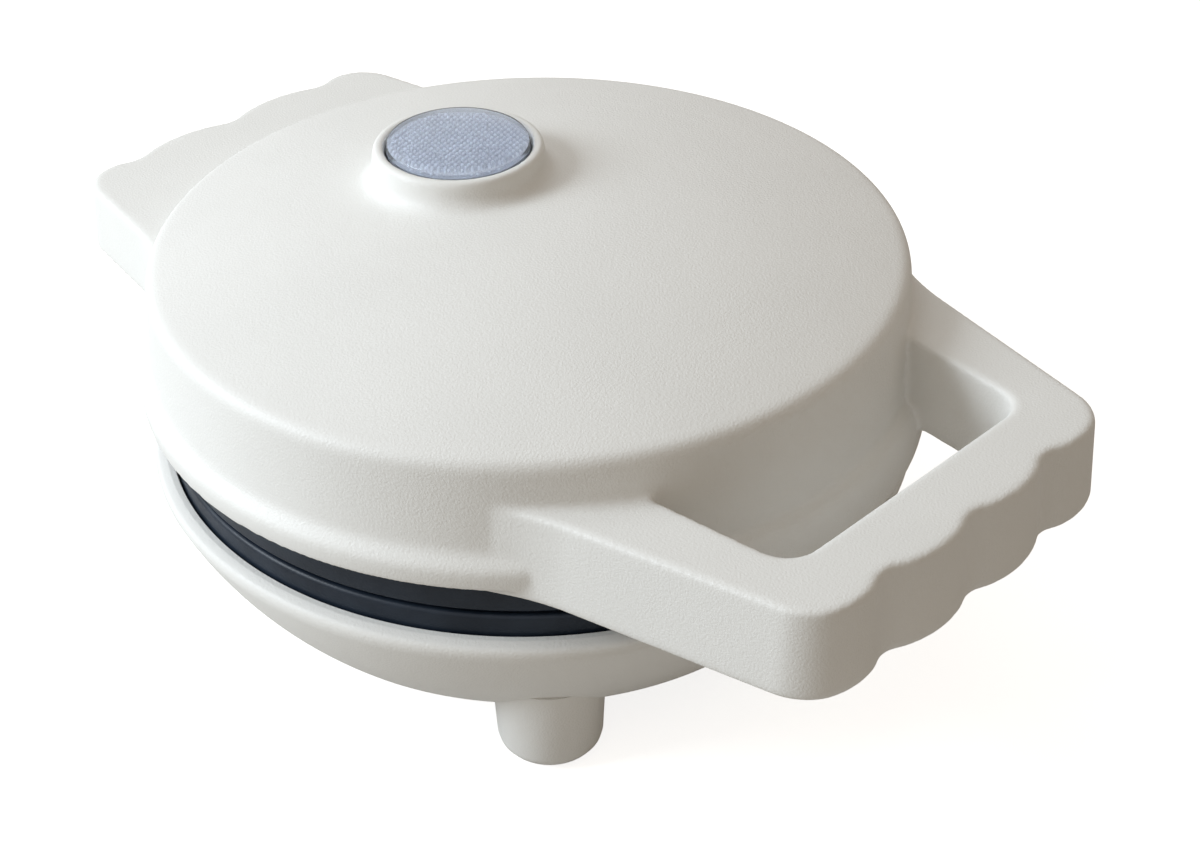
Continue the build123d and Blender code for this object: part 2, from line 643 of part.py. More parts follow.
def cord_clamp():
    """The bar that holds the cord down on its two posts."""
    y = BLOCK_REACH - BLOCK_WALL - 10
    bar = slab((-13.5, 13.5), (y - 4, y + 4), (CLAMP_Z, CLAMP_Z + CLAMP_T))
    for x, place_y in clamp_screw_places():
        bar -= ring(SCREW_R + 0.2, 0, CLAMP_Z - 1, CLAMP_Z + CLAMP_T + 1, (x, place_y))
    return bar


def clamp_screws():
    top = CLAMP_Z + CLAMP_T
    return group(pan_screw(x, y, top, 4.8, -1) for x, y in clamp_screw_places())


def cord_gland():
    """The rubber sleeve that the cord comes in through, with a lip on each side of the wall."""
    wall_out, wall_in = BLOCK_REACH, BLOCK_REACH - BLOCK_WALL
    points = [(GLAND_BORE_R, wall_in - GLAND_TAIL), (GLAND_R + 1, wall_in - GLAND_TAIL)]
    points += [(GLAND_R + 1, wall_in), (GLAND_R, wall_in)]
    points += [(GLAND_R, wall_out), (GLAND_LIP_R, wall_out), (GLAND_R - 0.5, wall_out + GLAND_LIP)]
    points += [(GLAND_BORE_R, wall_out + GLAND_LIP)]
    lying = Pos(0, 0, GLAND_Z) * Rot(-90, 0, 0)
    return lying * turned(points)


def base_cover():
    """The round cover under the bowl, with a short rim that stands in the opening."""
    cover = ring(COVER_R, 0, FLOOR_Z - COVER_T, FLOOR_Z)
    cover += ring(COVER_HOLE_R - 0.3, COVER_HOLE_R - 2, FLOOR_Z - 0.5, FLOOR_Z + 1.5)
    for x, y in cover_screw_places():
        cover -= ring(SCREW_R + 0.2, 0, FLOOR_Z - COVER_T - 1, FLOOR_Z + 1, (x, y))
    return cover


def cover_screws():
    low = FLOOR_Z - COVER_T
    return group(pan_screw(x, y, low, 8) for x, y in cover_screw_places())


def terminal_block():
    """The three-way mains terminals, on the bowl's floor beside the cover."""
    y = -53.0
    floor = FLOOR_Z + WALL
    body = slab((-16, 16), (y - 5.5, y + 5.5), (floor, floor + 8))
    for x in (-10, 0, 10):
        body += slab((x - 3.5, x + 3.5), (y - 5, y + 5), (floor + 7, floor + 9.5))
    for x in (-10, 0, 10):
        body -= ring(1.8, 0, floor + 4, floor + 10, (x, y))
    return body


def earth_tab():
    """The blade that earths the lower plate."""
    back = SEAM_Z - PLATE_BODY
    return slab((-4, 4), (18, 26), (back - 0.8, back)) + slab((-3.2, 3.2), (18, 18.8), (back - 6, back))


# Hinge pieces

def hinge_bushes():
    """A plain bush in each end of the knuckle."""
    start, end = KNUCKLE_HALF - BUSH_LENGTH, KNUCKLE_HALF
    bush = rod_x(BUSH_R - FIT, start, end, PIVOT_Y, PIVOT_Z)
    bush += rod_x(BUSH_FLANGE_R, end, end + 0.5, PIVOT_Y, PIVOT_Z)
    bush -= rod_x(PIN_R + RUNNING, start - 1, end + 2, PIVOT_Y, PIVOT_Z)
    return both_sides(bush)


def hinge_pins():
    pin = rod_x(PIN_R, KNUCKLE_HALF - BUSH_LENGTH - 2, EAR_OUT, PIVOT_Y, PIVOT_Z)
    pin += rod_x(PIN_HEAD_R, EAR_OUT, EAR_OUT + 1.5, PIVOT_Y, PIVOT_Z)
    return both_sides(pin)


def all_pieces():
    pieces = {
        "base_shell": base_shell(),
        "base_cover": base_cover(),
        "base_cover_screws": cover_screws(),
        "foot_pads": group(foot_pad(x, y) for x, y in foot_places()),
        "lower_plate": plate_below(),
        "lower_plate_screws": plate_screws_below(),
        "lower_element": element_below(),
        "lower_element_sleeves": end_caps_below(),
        "lower_heat_shield": shield_below(),
        "thermal_fuse": thermal_fuse(),
        "earth_tab": earth_tab(),
        "terminal_block": terminal_block(),
        "cord_gland": cord_gland(),
        "cord_clamp": cord_clamp(),
        "cord_clamp_screws": clamp_screws(),
        "hinge_bushes": hinge_bushes(),
        "hinge_pins": hinge_pins(),
        "lid_shell": lid_shell(),
        "handle_cover": grip_cover(),
        "handle_cover_screws": grip_screws(),
        "upper_plate": plate_above(),
        "upper_plate_screws": above(plate_screws_below()),
        "upper_element": above(element_below()),
        "upper_element_sleeves": above(end_caps_below()),
        "upper_heat_shield": above(shield_below()),
        "thermostat": thermostat(),
        "indicator_lens": lens(),
        "lamp_holder": lamp_holder(),
        "neon_lamps": group(neon_lamp(x) for x in (-LAMP_X, LAMP_X)),
    }
    return {name: Pos(0, AXIS_Y, 0) * piece for name, piece in pieces.items()}


def main():
    os.makedirs("parts", exist_ok=True)
    for name, piece in all_pieces().items():
        export_step(piece, f"parts/{name}.step")
        box = piece.bounding_box()
        print(name, len(piece.solids()), round(piece.volume), box.min, box.max)


if __name__ == "__main__":
    main()
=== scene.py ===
# %% [markdown]
# # A bubble waffle maker in the studio
# This lesson dresses a measured model of a countertop waffle maker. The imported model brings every
# sub-part in its place, in metres, with the hinge of its lid. It is loaded first and never changed:
# a sub-part gets a better material, or a new piece stands for it.

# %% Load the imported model
import json
from contextlib import contextmanager
from math import asin, cos, hypot, pi, radians, sin, sqrt, tan

import bmesh
import bpy
from mathutils import Matrix, Vector

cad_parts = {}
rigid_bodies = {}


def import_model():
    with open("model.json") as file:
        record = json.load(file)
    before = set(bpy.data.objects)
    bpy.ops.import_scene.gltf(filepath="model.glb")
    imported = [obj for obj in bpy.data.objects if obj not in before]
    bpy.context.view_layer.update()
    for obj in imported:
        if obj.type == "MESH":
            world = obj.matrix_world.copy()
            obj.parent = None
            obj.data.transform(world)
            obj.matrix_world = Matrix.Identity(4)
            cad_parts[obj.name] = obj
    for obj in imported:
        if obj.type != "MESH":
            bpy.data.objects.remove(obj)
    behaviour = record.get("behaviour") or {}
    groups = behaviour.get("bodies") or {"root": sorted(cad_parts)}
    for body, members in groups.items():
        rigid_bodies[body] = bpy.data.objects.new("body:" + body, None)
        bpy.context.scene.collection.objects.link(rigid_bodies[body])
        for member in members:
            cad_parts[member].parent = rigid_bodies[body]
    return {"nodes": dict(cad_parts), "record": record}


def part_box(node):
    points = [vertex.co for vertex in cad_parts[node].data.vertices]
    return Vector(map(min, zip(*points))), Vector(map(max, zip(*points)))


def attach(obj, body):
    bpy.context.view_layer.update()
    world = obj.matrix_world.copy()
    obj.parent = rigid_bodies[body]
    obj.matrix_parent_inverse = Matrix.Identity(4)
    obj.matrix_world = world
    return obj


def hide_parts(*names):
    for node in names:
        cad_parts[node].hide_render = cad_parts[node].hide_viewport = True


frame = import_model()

scene = bpy.context.scene
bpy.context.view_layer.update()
plate_low, plate_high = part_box("lower_plate")
AXIS_Y = (plate_low.y + plate_high.y) / 2
print("sub-parts:", len(frame["nodes"]), "round body's axis at y =", round(AXIS_Y, 5))

# %% [markdown]
# ## Drawing in millimetres
# The maker is round, so the easy place to draw it is round its own upright axis, in millimetres.
# Each finished piece is then scaled to metres and moved to the axis in the frame, all in its mesh,
# so that its object stays at the origin. Working solids are joined and cut with Booleans before
# that. A Boolean can leave points a hair apart, so they are merged before the next one. A spin
# leaves its faces in a chance order, so each drawing is sorted, and every run gives the same mesh.

# %% Working solids
MM = 0.001
DRAWN_TWICE, CUT_TWICE = 0.0005, 0.002


@contextmanager
def opened(mesh):
    """Opens a mesh for bmesh operators and writes the result back."""
    bm = bmesh.new()
    bm.from_mesh(mesh)
    yield bm
    bm.to_mesh(mesh)
    bm.free()


def in_order(bm):
    """Sorts a drawing's edges and faces by the numbers of their first points."""
    bm.verts.index_update()
    count = len(bm.verts)

    def rank(item):
        first, second, *rest = sorted(v.index for v in item.verts)
        return (first * count + second) * count + (rest[0] if rest else 0)

    for items in (bm.edges, bm.faces):
        items.sort(key=rank)
        items.index_update()


def solid(bm, name):
    """Makes a working object, in millimetres, from a drawing."""
    bmesh.ops.remove_doubles(bm, verts=bm.verts, dist=DRAWN_TWICE)
    bmesh.ops.recalc_face_normals(bm, faces=bm.faces)
    in_order(bm)
    mesh = bpy.data.meshes.new(name)
    bm.to_mesh(mesh)
    bm.free()
    work = bpy.data.objects.new(name, mesh)
    scene.collection.objects.link(work)
    return work


def bake(work):
    """Applies a working object's modifiers."""
    graph = bpy.context.evaluated_depsgraph_get()
    baked = bpy.data.meshes.new_from_object(work.evaluated_get(graph))
    work.modifiers.clear()
    work.data = baked


def combine(work, tool, operation):
    """Joins a tool to a working solid, or cuts it away."""
    boolean = work.modifiers.new(operation, "BOOLEAN")
    boolean.operation = operation
    boolean.object = tool
    boolean.solver = "EXACT"
    bake(work)
    bpy.data.objects.remove(tool)
    with opened(work.data) as bm:
        bmesh.ops.remove_doubles(bm, verts=bm.verts, dist=CUT_TWICE)


def settle(work, body, stands_for=(), crease=35):
    """Brings a working object into the frame as a piece that rides on a body."""
    with opened(work.data) as bm:
        bmesh.ops.scale(bm, vec=(MM, MM, MM), verts=bm.verts)
        bmesh.ops.translate(bm, vec=(0, AXIS_Y, 0), verts=bm.verts)
        for face in bm.faces:
            face.smooth = True
    work.data.set_sharp_from_angle(angle=radians(crease))
    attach(work, body)
    if stands_for:
        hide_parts(*stands_for)
    print(work.name, "has", len(work.data.polygons), "faces")


print("one drawing unit is", MM, "m")

# %% [markdown]
# ## Outlines from straight runs and swung arcs
# A draughtsman draws a moulding's section as straight runs and arcs with rounded corners. The same
# works here: a point is swung about a centre for an arc, and a corner is rounded by a vertex bevel
# whose width follows from the radius and from how far the outline turns there. A filled section is
# then turned about the upright axis, as on a lathe.

# %% Outline helpers
TURN_STEPS = 160
ON_AXIS = 0.001


def run(bm, start, *places):
    """Draws straight runs from a point through each place and returns the last point."""
    for place in places:
        end = bm.verts.new(place)
        bm.edges.new((start, end))
        start = end
    return start


def outline(bm, places):
    """Draws straight runs through all the places and back to the first, and returns the points."""
    points = [bm.verts.new(place) for place in places]
    for before, after in zip(points, points[1:] + points[:1]):
        bm.edges.new((before, after))
    return points


def swing(bm, start, centre, angle, steps, axis=(0, 1, 0)):
    """Swings a point about a centre, which draws an arc, and returns the arc's last point."""
    made = bmesh.ops.spin(bm, geom=[start], cent=centre, axis=axis, angle=angle, steps=steps)
    return [item for item in made["geom_last"] if isinstance(item, bmesh.types.BMVert)][0]


def fill(bm, corners=()):
    """Fills the closed outline and rounds its corners, each given as a point and a radius."""
    bmesh.ops.contextual_create(bm, geom=bm.edges[:])
    for corner, radius in corners:
        ahead, behind = [edge.other_vert(corner).co - corner.co for edge in corner.link_edges]
        width = radius * tan((pi - ahead.angle(behind)) / 2)
        bmesh.ops.bevel(
            bm, geom=[corner], offset=width, offset_type="OFFSET", affect="VERTICES",
            segments=4 + int(radius / 5), profile=0.5, material=-1,
        )


def turn(bm, steps=TURN_STEPS):
    """Spins a filled section about the upright axis into a closed solid."""
    bmesh.ops.delete(bm, geom=bm.faces[:], context="FACES_ONLY")
    core = [e for e in bm.edges if all(hypot(v.co.x, v.co.y) < ON_AXIS for v in e.verts)]
    bmesh.ops.delete(bm, geom=core, context="EDGES")
    bmesh.ops.spin(
        bm, geom=bm.verts[:] + bm.edges[:], cent=(0, 0, 0), axis=(0, 0, 1),
        angle=2 * pi, steps=steps, use_merge=True,
    )
    bmesh.ops.remove_doubles(bm, verts=bm.verts, dist=DRAWN_TWICE)
    bmesh.ops.recalc_face_normals(bm, faces=bm.faces)
    return bm


def lathe(corners, steps=TURN_STEPS):
    """A turned solid from corners, each a radius, a height and a rounding."""
    bm = bmesh.new()
    points = outline(bm, [(radius, 0, height) for radius, height, _ in corners])
    fill(bm, [(point, rounding) for point, (_, _, rounding) in zip(points, corners) if rounding])
    return turn(bm, steps)


print("full turns take", TURN_STEPS, "steps, which leaves facets of", 360 / TURN_STEPS, "degrees")

# %% [markdown]
# ## Blocks and rods
# Holes, pins, knuckles and notches need no drawing. They start from Blender's own cube and cone,
# sized and put in place, and one helper rounds their edges as a cutter would.

# %% Block, rod and rounding helpers


def block(x, y, z):
    """A block between two limits on each axis."""
    bm = bmesh.new()
    bmesh.ops.create_cube(bm, size=1)
    size = (x[1] - x[0], y[1] - y[0], z[1] - z[0])
    bmesh.ops.scale(bm, vec=size, verts=bm.verts)
    middle = ((x[0] + x[1]) / 2, (y[0] + y[1]) / 2, (z[0] + z[1]) / 2)
    bmesh.ops.translate(bm, vec=middle, verts=bm.verts)
    return bm


def rod(radius, length, middle, axis="Z", steps=64):
    """A round rod along one axis."""
    bm = bmesh.new()
    bmesh.ops.create_cone(
        bm, cap_ends=True, segments=steps, radius1=radius, radius2=radius, depth=length
    )
    turned = {"X": Matrix.Rotation(pi / 2, 3, "Y"), "Y": Matrix.Rotation(pi / 2, 3, "X")}
    if axis in turned:
        bmesh.ops.rotate(bm, cent=(0, 0, 0), matrix=turned[axis], verts=bm.verts)
    bmesh.ops.translate(bm, vec=middle, verts=bm.verts)
    return bm


def round_off(bm, edges, radius, segments, clamp=False):
    """Rounds edges to a radius. Clamped, it stops where two roundings would meet."""
    bmesh.ops.bevel(
        bm, geom=edges, offset=radius, offset_type="OFFSET", affect="EDGES",
        segments=segments, profile=0.5, material=-1, clamp_overlap=clamp,
    )

# %% [markdown]
# ## The lid's round body
# The lid is one moulding. Its round part is a shallow dome, a side band and a lip that stands out
# below it, all the same wall. A dome this flat is a small cap of a very large ball, so its section
# is an arc swung about a centre far below the table. A scaled sphere would also give a dome, but
# its curve would be wrong near the edge.

# %% Turn the dome, band and lip
DOME_TOP, DOME_EDGE_R, DOME_EDGE_Z = 97.0, 81.9, 87.3
BAND_R, BAND_Z = 83.4, 67.6
LIP_R, BEAD_Z, LIP_Z, LIP_DRAFT = 86.4, 65.2, 60.5, 0.4
DOME_ROUND, BAND_ROUND, BEAD_ROUND = 2.8, 2.6, 2.2
ARC_STEPS = 12


def ball_radius(edge_r, rise):
    """Radius of the ball whose cap has this edge radius and this rise."""
    return (edge_r**2 + rise**2) / (2 * rise)


def dome():
    """The outside of the lid's round body, as a solid."""
    ball = ball_radius(DOME_EDGE_R, DOME_TOP - DOME_EDGE_Z)
    bm = bmesh.new()
    top = bm.verts.new((0, 0, DOME_TOP))
    edge = swing(bm, top, (0, 0, DOME_TOP - ball), asin(DOME_EDGE_R / ball), ARC_STEPS)
    band = run(bm, edge, (BAND_R, 0, BAND_Z))
    bead = run(bm, band, (LIP_R, 0, BEAD_Z))
    last = run(bm, bead, (LIP_R - LIP_DRAFT, 0, LIP_Z), (0, 0, LIP_Z))
    bm.edges.new((last, top))
    fill(bm, [(edge, DOME_ROUND), (band, BAND_ROUND), (bead, BEAD_ROUND)])
    return turn(bm)


lid = solid(dome(), "lid_moulding")
print("lid's round body:", [round(v, 1) for v in lid.dimensions])

# %% [markdown]
# ## The hollow of the lid
# A moulding is a thin shell, because thick plastic sinks as it cools. The hollow is a second turned
# solid, one wall smaller, with a step at its foot that seats the upper plate. It is cut away late,
# when the loop, the hood and the collar are already joined, so that their walls stay whole.

# %% Draw the hollow
WALL = 2.6
SEAT_R, SEAT_RISE = 82.0, 3
LID_CUT_Z = 50


def cavity():
    """What the lid's round body holds clear inside."""
    edge_r = DOME_EDGE_R - WALL
    ball = ball_radius(edge_r, DOME_TOP - DOME_EDGE_Z)
    bm = bmesh.new()
    top = bm.verts.new((0, 0, DOME_TOP - WALL))
    edge = swing(bm, top, (0, 0, DOME_TOP - WALL - ball), asin(edge_r / ball), ARC_STEPS)
    last = run(
        bm, edge, (BAND_R - WALL, 0, BAND_Z), (SEAT_R, 0, LIP_Z + SEAT_RISE),
        (SEAT_R, 0, LID_CUT_Z), (0, 0, LID_CUT_Z),
    )
    bm.edges.new((last, top))
    fill(bm)
    return turn(bm)


print("the dome's wall is", WALL, "mm thick at the top")

# %% [markdown]
# ## Finger loop and hinge hood
# Both stand out from the round body with a flat deck and a scalloped end, like a row of shells.
# They are drawn flat, as a row of arcs with rounded valleys between them, two straight flanks and a
# flare into the side band. The short straight end of each arc gives its valley room to be rounded.

# %% Draw the plan outlines
DECK_Z = 78.0
LOBE, LOBE_STEPS, END_RUN = 3.4, 7, 5.2
VALLEY_ROUND, FLARE_ROUND, GAP_ROUND = 6.5, 47.5, 7.0
LOOP_STOPS = (-44.9, -115.4), (-24.6, -117.0), (0, -118.1), (24.6, -117.0), (44.9, -115.4)
LOOP_ROOT, LOOP_INNER, LOOP_CORNER = (57.6, -63.0), (63.09, -52.53), 10
HOOD_STOPS = (44.0, 105.0), (28, 108.6), (0, 108.6), (-28, 108.6), (-44.0, 105.0)
HOOD_ROOT, HOOD_INNER, HOOD_CORNER = (-50.36, 66.64), (-60.74, 55.25), 11
GAP_CORNERS = (-39.8, -65), (-35.4, -104.9), (35.4, -104.9), (39.8, -65)


def scallops(bm, start, stops):
    """Draws an arc from stop to stop, bulging to the right, and returns the stops' points."""
    points = [start]
    for before, after in zip(stops, stops[1:]):
        chord = Vector(after) - Vector(before)
        half = chord.length / 2
        radius = ball_radius(half, LOBE)
        inward = Vector((-chord.y, chord.x)).normalized() * (radius - LOBE)
        centre = (*((Vector(before) + Vector(after)) / 2 + inward), DECK_Z)
        end = END_RUN / radius
        whole = 2 * asin(half / radius)
        place = points[-1]
        for angle, steps in ((end, 1), (whole - 2 * end, LOBE_STEPS), (end, 1)):
            place = swing(bm, place, centre, angle, steps, axis=(0, 0, 1))
        points.append(place)
    return points


def plan(stops, root, inner, corner):
    """A scalloped outline at deck height, as one face, with its flanks' roots inside the body."""
    bm = bmesh.new()
    start = bm.verts.new((*stops[0], DECK_Z))
    points = scallops(bm, start, stops)
    first = run(bm, points[-1], (*root, DECK_Z))
    across = (-inner[0], inner[1], DECK_Z), (-root[0], root[1], DECK_Z)
    last = run(bm, first, (*inner, DECK_Z), *across)
    bm.edges.new((last, start))
    rounds = [(point, VALLEY_ROUND) for point in points[1:-1]]
    rounds += [(points[0], corner), (points[-1], corner)]
    rounds += [(first, FLARE_ROUND), (last, FLARE_ROUND)]
    fill(bm, rounds)
    return bm


def loop_plan():
    """The finger loop's outline, without its opening."""
    return plan(LOOP_STOPS, LOOP_ROOT, LOOP_INNER, LOOP_CORNER)


def hood_plan():
    """The hinge hood's outline."""
    return plan(HOOD_STOPS, HOOD_ROOT, HOOD_INNER, HOOD_CORNER)


def gap_plan():
    """The opening for the fingers at deck height."""
    bm = bmesh.new()
    corners = outline(bm, [(*corner, DECK_Z) for corner in GAP_CORNERS])
    fill(bm, [(corner, GAP_ROUND) for corner in corners[1:3]])
    return bm


print("scallops on the loop:", len(LOOP_STOPS) - 1, "and on the hood:", len(HOOD_STOPS) - 1)

# %% [markdown]
# Moulded walls lean by a few degrees, so that the part leaves its tool: a wall that spreads on its
# way down. One inset with a depth makes such a wall all round a flat outline. The deck's edges and
# the opening's are then rounded, but not where they run into the round body.

# %% Walls and soft edges
DRAFT = tan(radians(4.5))
BODY_CLEAR_R = 82.8


def sink(bm, depth, spread):
    """Extrudes a plan face down, with walls that spread out or draw in on the way."""
    for face in bm.faces:
        if face.normal.z < 0:
            face.normal_flip()
    top = bmesh.ops.duplicate(bm, geom=bm.faces[:])
    low = [item for item in top["geom"] if isinstance(item, bmesh.types.BMFace)]
    bmesh.ops.inset_individual(
        bm, faces=low, thickness=-spread, depth=-depth, use_even_offset=True
    )
    bmesh.ops.remove_doubles(bm, verts=bm.verts, dist=DRAWN_TWICE)
    bmesh.ops.recalc_face_normals(bm, faces=bm.faces)
    return bm


def narrowed(bm, margin):
    """A plan face drawn in by a margin."""
    rim = bmesh.ops.inset_individual(bm, faces=bm.faces[:], thickness=margin, use_even_offset=True)
    bmesh.ops.delete(bm, geom=rim["faces"], context="FACES")
    return bm


def raised(bm, by):
    """A drawing moved up."""
    bmesh.ops.translate(bm, vec=(0, 0, by), verts=bm.verts)
    return bm


def soften(work, height, radius, segments):
    """Rounds the edges at one height that stand clear of the round body."""
    with opened(work.data) as bm:
        bmesh.ops.dissolve_degenerate(bm, edges=bm.edges, dist=0.01)
        rim = [
            edge for edge in bm.edges
            if all(abs(v.co.z - height) < 0.01 for v in edge.verts)
            and edge.calc_face_angle(0) > 0.5
            and hypot(*((edge.verts[0].co + edge.verts[1].co) / 2).xy) > BODY_CLEAR_R
        ]
        round_off(bm, rim, radius, segments, clamp=True)


print("walls spread by", round(DRAFT, 4), "mm in each mm of height")

# %% Make the loop and the hood
LOOP_DEEP, HOOD_DEEP = 20.0, 16.0
LOOP_Z = DECK_Z - LOOP_DEEP
GAP_PROUD, GAP_DEEP = 1, 24

loop = solid(sink(loop_plan(), LOOP_DEEP, LOOP_DEEP * DRAFT), "loop")
gap = solid(sink(raised(gap_plan(), GAP_PROUD), GAP_DEEP, -GAP_DEEP * DRAFT), "gap")
soften(loop, DECK_Z, radius=4.2, segments=6)
combine(loop, gap, "DIFFERENCE")
soften(loop, DECK_Z, radius=2.0, segments=4)
soften(loop, LOOP_Z, radius=1.6, segments=4)
hood = solid(sink(hood_plan(), HOOD_DEEP, HOOD_DEEP * DRAFT), "hood")
soften(hood, DECK_Z, radius=3.6, segments=6)
print("finger loop:", [round(v, 1) for v in loop.dimensions])
print("hinge hood:", [round(v, 1) for v in hood.dimensions])

# %% [markdown]
# ## Collar and lens well
# The clear lens sits in a low collar that flares into the dome, so that no dirt line shows. Behind
# it is a stepped hole: the lens goes in from inside until its flange meets the step. Collar, flare
# and hole are turned from short lists of corners. The flare leans with the dome, and the collar
# itself stays upright, as the lens does.

# %% Turn the collar, its flare and the lens well
LENS_Y, FLANGE_Z, COLLAR_Z = 22.0, 96.4, 103.0
FLARE = [
    (0, 90, 0), (25, 90, 0), (25, 96.1, 0), (19.5, 96.4, 3.4), (18.9, 101.2, 0), (0, 101.2, 0)
]
COLLAR = [(0, 92, 0), (19.4, 92, 0), (18.8, COLLAR_Z, 1.1), (0, COLLAR_Z, 0)]
WELL = [
    (0, 86, 0), (17.9, 86, 0), (17.9, FLANGE_Z, 0), (16.2, FLANGE_Z, 0), (16.2, 102.3, 0),
    (16.8, 104.3, 0), (0, 104.3, 0),
]


def at_lens(bm):
    """A turned drawing moved from the maker's axis to the lens's."""
    bmesh.ops.translate(bm, vec=(0, LENS_Y, 0), verts=bm.verts)
    return bm


def flare():
    """The foot of the collar, which leans with the dome."""
    ball = ball_radius(DOME_EDGE_R, DOME_TOP - DOME_EDGE_Z)
    bm = lathe(FLARE)
    lean = Matrix.Rotation(-asin(LENS_Y / ball), 3, "X")
    bmesh.ops.rotate(bm, cent=(0, 0, DOME_TOP - ball), matrix=lean, verts=bm.verts)
    return bm


print("the collar stands", round(COLLAR_Z - DOME_TOP, 1), "mm above the dome's top")

# %% [markdown]
# ## Lip gaps and finger guard
# The lip is left out beside the loop, where it would close the finger opening, and at the back,
# where the hinge swings. Between the loop's arms a guard comes down instead, which keeps the
# fingers off the hot seam. Each is one section swept through part of a turn.

# %% Sweep sections through part of a turn
SECTOR_STEPS = 24
BEYOND_BAND = [(83.7, 59.5), (90, 59.5), (90, BAND_Z), (83.7, BAND_Z)]
LIP_GAPS = (-44.2, 44.2), (142, 218)
GUARD_REACH = 31.5
GUARD = [
    (82.6, 63.8), (83.4, 63.8), (85.8, 62.7), (86.9, 61.2), (87.5, 58.8), (87.8, 55.4),
    (87.8, 51.5), (87.2, 50.9), (85.2, 50.9), (85.2, 56.8), (82.6, 60.2),
]


def sector(section, start, end):
    """A section, as radii and heights, swept between two angles in degrees from the front."""
    bm = bmesh.new()
    outline(bm, [(0, -radius, height) for radius, height in section])
    to_start = Matrix.Rotation(radians(start), 3, "Z")
    bmesh.ops.rotate(bm, cent=(0, 0, 0), matrix=to_start, verts=bm.verts)
    bmesh.ops.spin(
        bm, geom=bm.verts[:] + bm.edges[:], cent=(0, 0, 0), axis=(0, 0, 1),
        angle=radians(end - start), steps=SECTOR_STEPS,
    )
    bmesh.ops.holes_fill(bm, edges=bm.edges, sides=len(section))
    return bm


print("the guard reaches", GUARD_REACH, "degrees to each side of the front")

# %% [markdown]
# ## Hinge ears and the room under the loop
# Two ears inside the hood hold the hinge pins. The second is the first one mirrored, with its faces
# turned round again, because a mirror turns a mesh inside out. Under the loop the moulding has a
# shallow rebate, which a cover plate closes. The rebate and the plate are drawn by one function
# from the loop's own outline, so that they fit.

# %% Ears, rebate and cover plate
PIVOT_Y, PIVOT_Z = 99.0, 62.5
EAR_INNER_X, EAR_WIDE, EAR_Y, EAR_TOP = 20.6, 4.4, (93, 105), 76
EYE_R, PIN_R = 6, 2.5
TRAY_Z, TRAY_BODY_R = 60.4, 86.9


def ear(side):
    """One of the two ears that hold the hinge pins."""
    pin_place = (EAR_INNER_X + EAR_WIDE / 2, PIVOT_Y, PIVOT_Z)
    across = EAR_INNER_X, EAR_INNER_X + EAR_WIDE
    lug = solid(block(across, EAR_Y, (PIVOT_Z, EAR_TOP)), "ear")
    combine(lug, solid(rod(EYE_R, EAR_WIDE, pin_place, "X"), "eye"), "UNION")
    combine(lug, solid(rod(PIN_R, 12, pin_place, "X"), "hole"), "DIFFERENCE")
    if side < 0:
        with opened(lug.data) as bm:
            bmesh.ops.scale(bm, vec=(-1, 1, 1), verts=bm.verts)
            bmesh.ops.reverse_faces(bm, faces=bm.faces)
    return lug


def round_body(radius, steps=TURN_STEPS):
    """A tall rod on the maker's axis that keeps a room out of the round body."""
    return solid(rod(radius, 60, (0, 0, 70), steps=steps), "round_body")


def tray(margin, depth, spread, name):
    """The flat room under the loop, inside its walls, which a cover plate closes."""
    room = solid(sink(raised(narrowed(loop_plan(), margin), TRAY_Z - DECK_Z), depth, spread), name)
    combine(room, round_body(TRAY_BODY_R), "DIFFERENCE")
    finger_room = solid(sink(raised(narrowed(gap_plan(), -margin), -10), 20, 0.3), "finger_room")
    combine(room, finger_room, "DIFFERENCE")
    return room


print("the hinge's axis is at y", PIVOT_Y, "and z", PIVOT_Z)

# %% [markdown]
# ## Joining the lid
# The order matters. The lip's gaps are cut first, because the loop and the hood stand in them.
# What stands out is joined next, and then the rooms are cut, so that no room is filled again. The
# ears come last, because they stand inside a room.

# %% Join and cut the lid moulding
HOOD_ROOM_R, HOOD_ROOM_DEEP, HOOD_ROOM_SPREAD = 84.3, 15, 0.2
NOTCH = (-28, 28), (PIVOT_Y, 118), (61, 72)

for start, end in LIP_GAPS:
    combine(lid, solid(sector(BEYOND_BAND, start, end), "lip_gap"), "DIFFERENCE")
combine(lid, solid(sector(GUARD, -GUARD_REACH, GUARD_REACH), "finger_guard"), "UNION")
combine(lid, solid(flare(), "flare"), "UNION")
combine(lid, solid(at_lens(lathe(COLLAR)), "collar"), "UNION")
combine(lid, loop, "UNION")
combine(lid, hood, "UNION")
hood_room_plan = raised(narrowed(hood_plan(), WALL), -WALL)
hood_room = solid(sink(hood_room_plan, HOOD_ROOM_DEEP, HOOD_ROOM_SPREAD), "hood_room")
combine(hood_room, round_body(HOOD_ROOM_R, 150), "DIFFERENCE")
combine(lid, hood_room, "DIFFERENCE")
combine(lid, solid(cavity(), "cavity"), "DIFFERENCE")
combine(lid, solid(at_lens(lathe(WELL)), "well"), "DIFFERENCE")
combine(lid, solid(block(*NOTCH), "notch"), "DIFFERENCE")
combine(lid, tray(margin=2.0, depth=4, spread=0.3, name="rebate"), "DIFFERENCE")
for side in (1, -1):
    combine(lid, ear(side), "UNION")
print("lid moulding before remeshing:", len(lid.data.polygons), "faces")

# %% [markdown]
# A moulding has no knife edges: every edge keeps the small radius of the cutter that made its
# mould. Edge bevels on a joined solid like this one run into each other. Remeshing it in small
# cubes and easing the result gives all its edges that radius at once, and even faces.

# %% Remesh the lid moulding


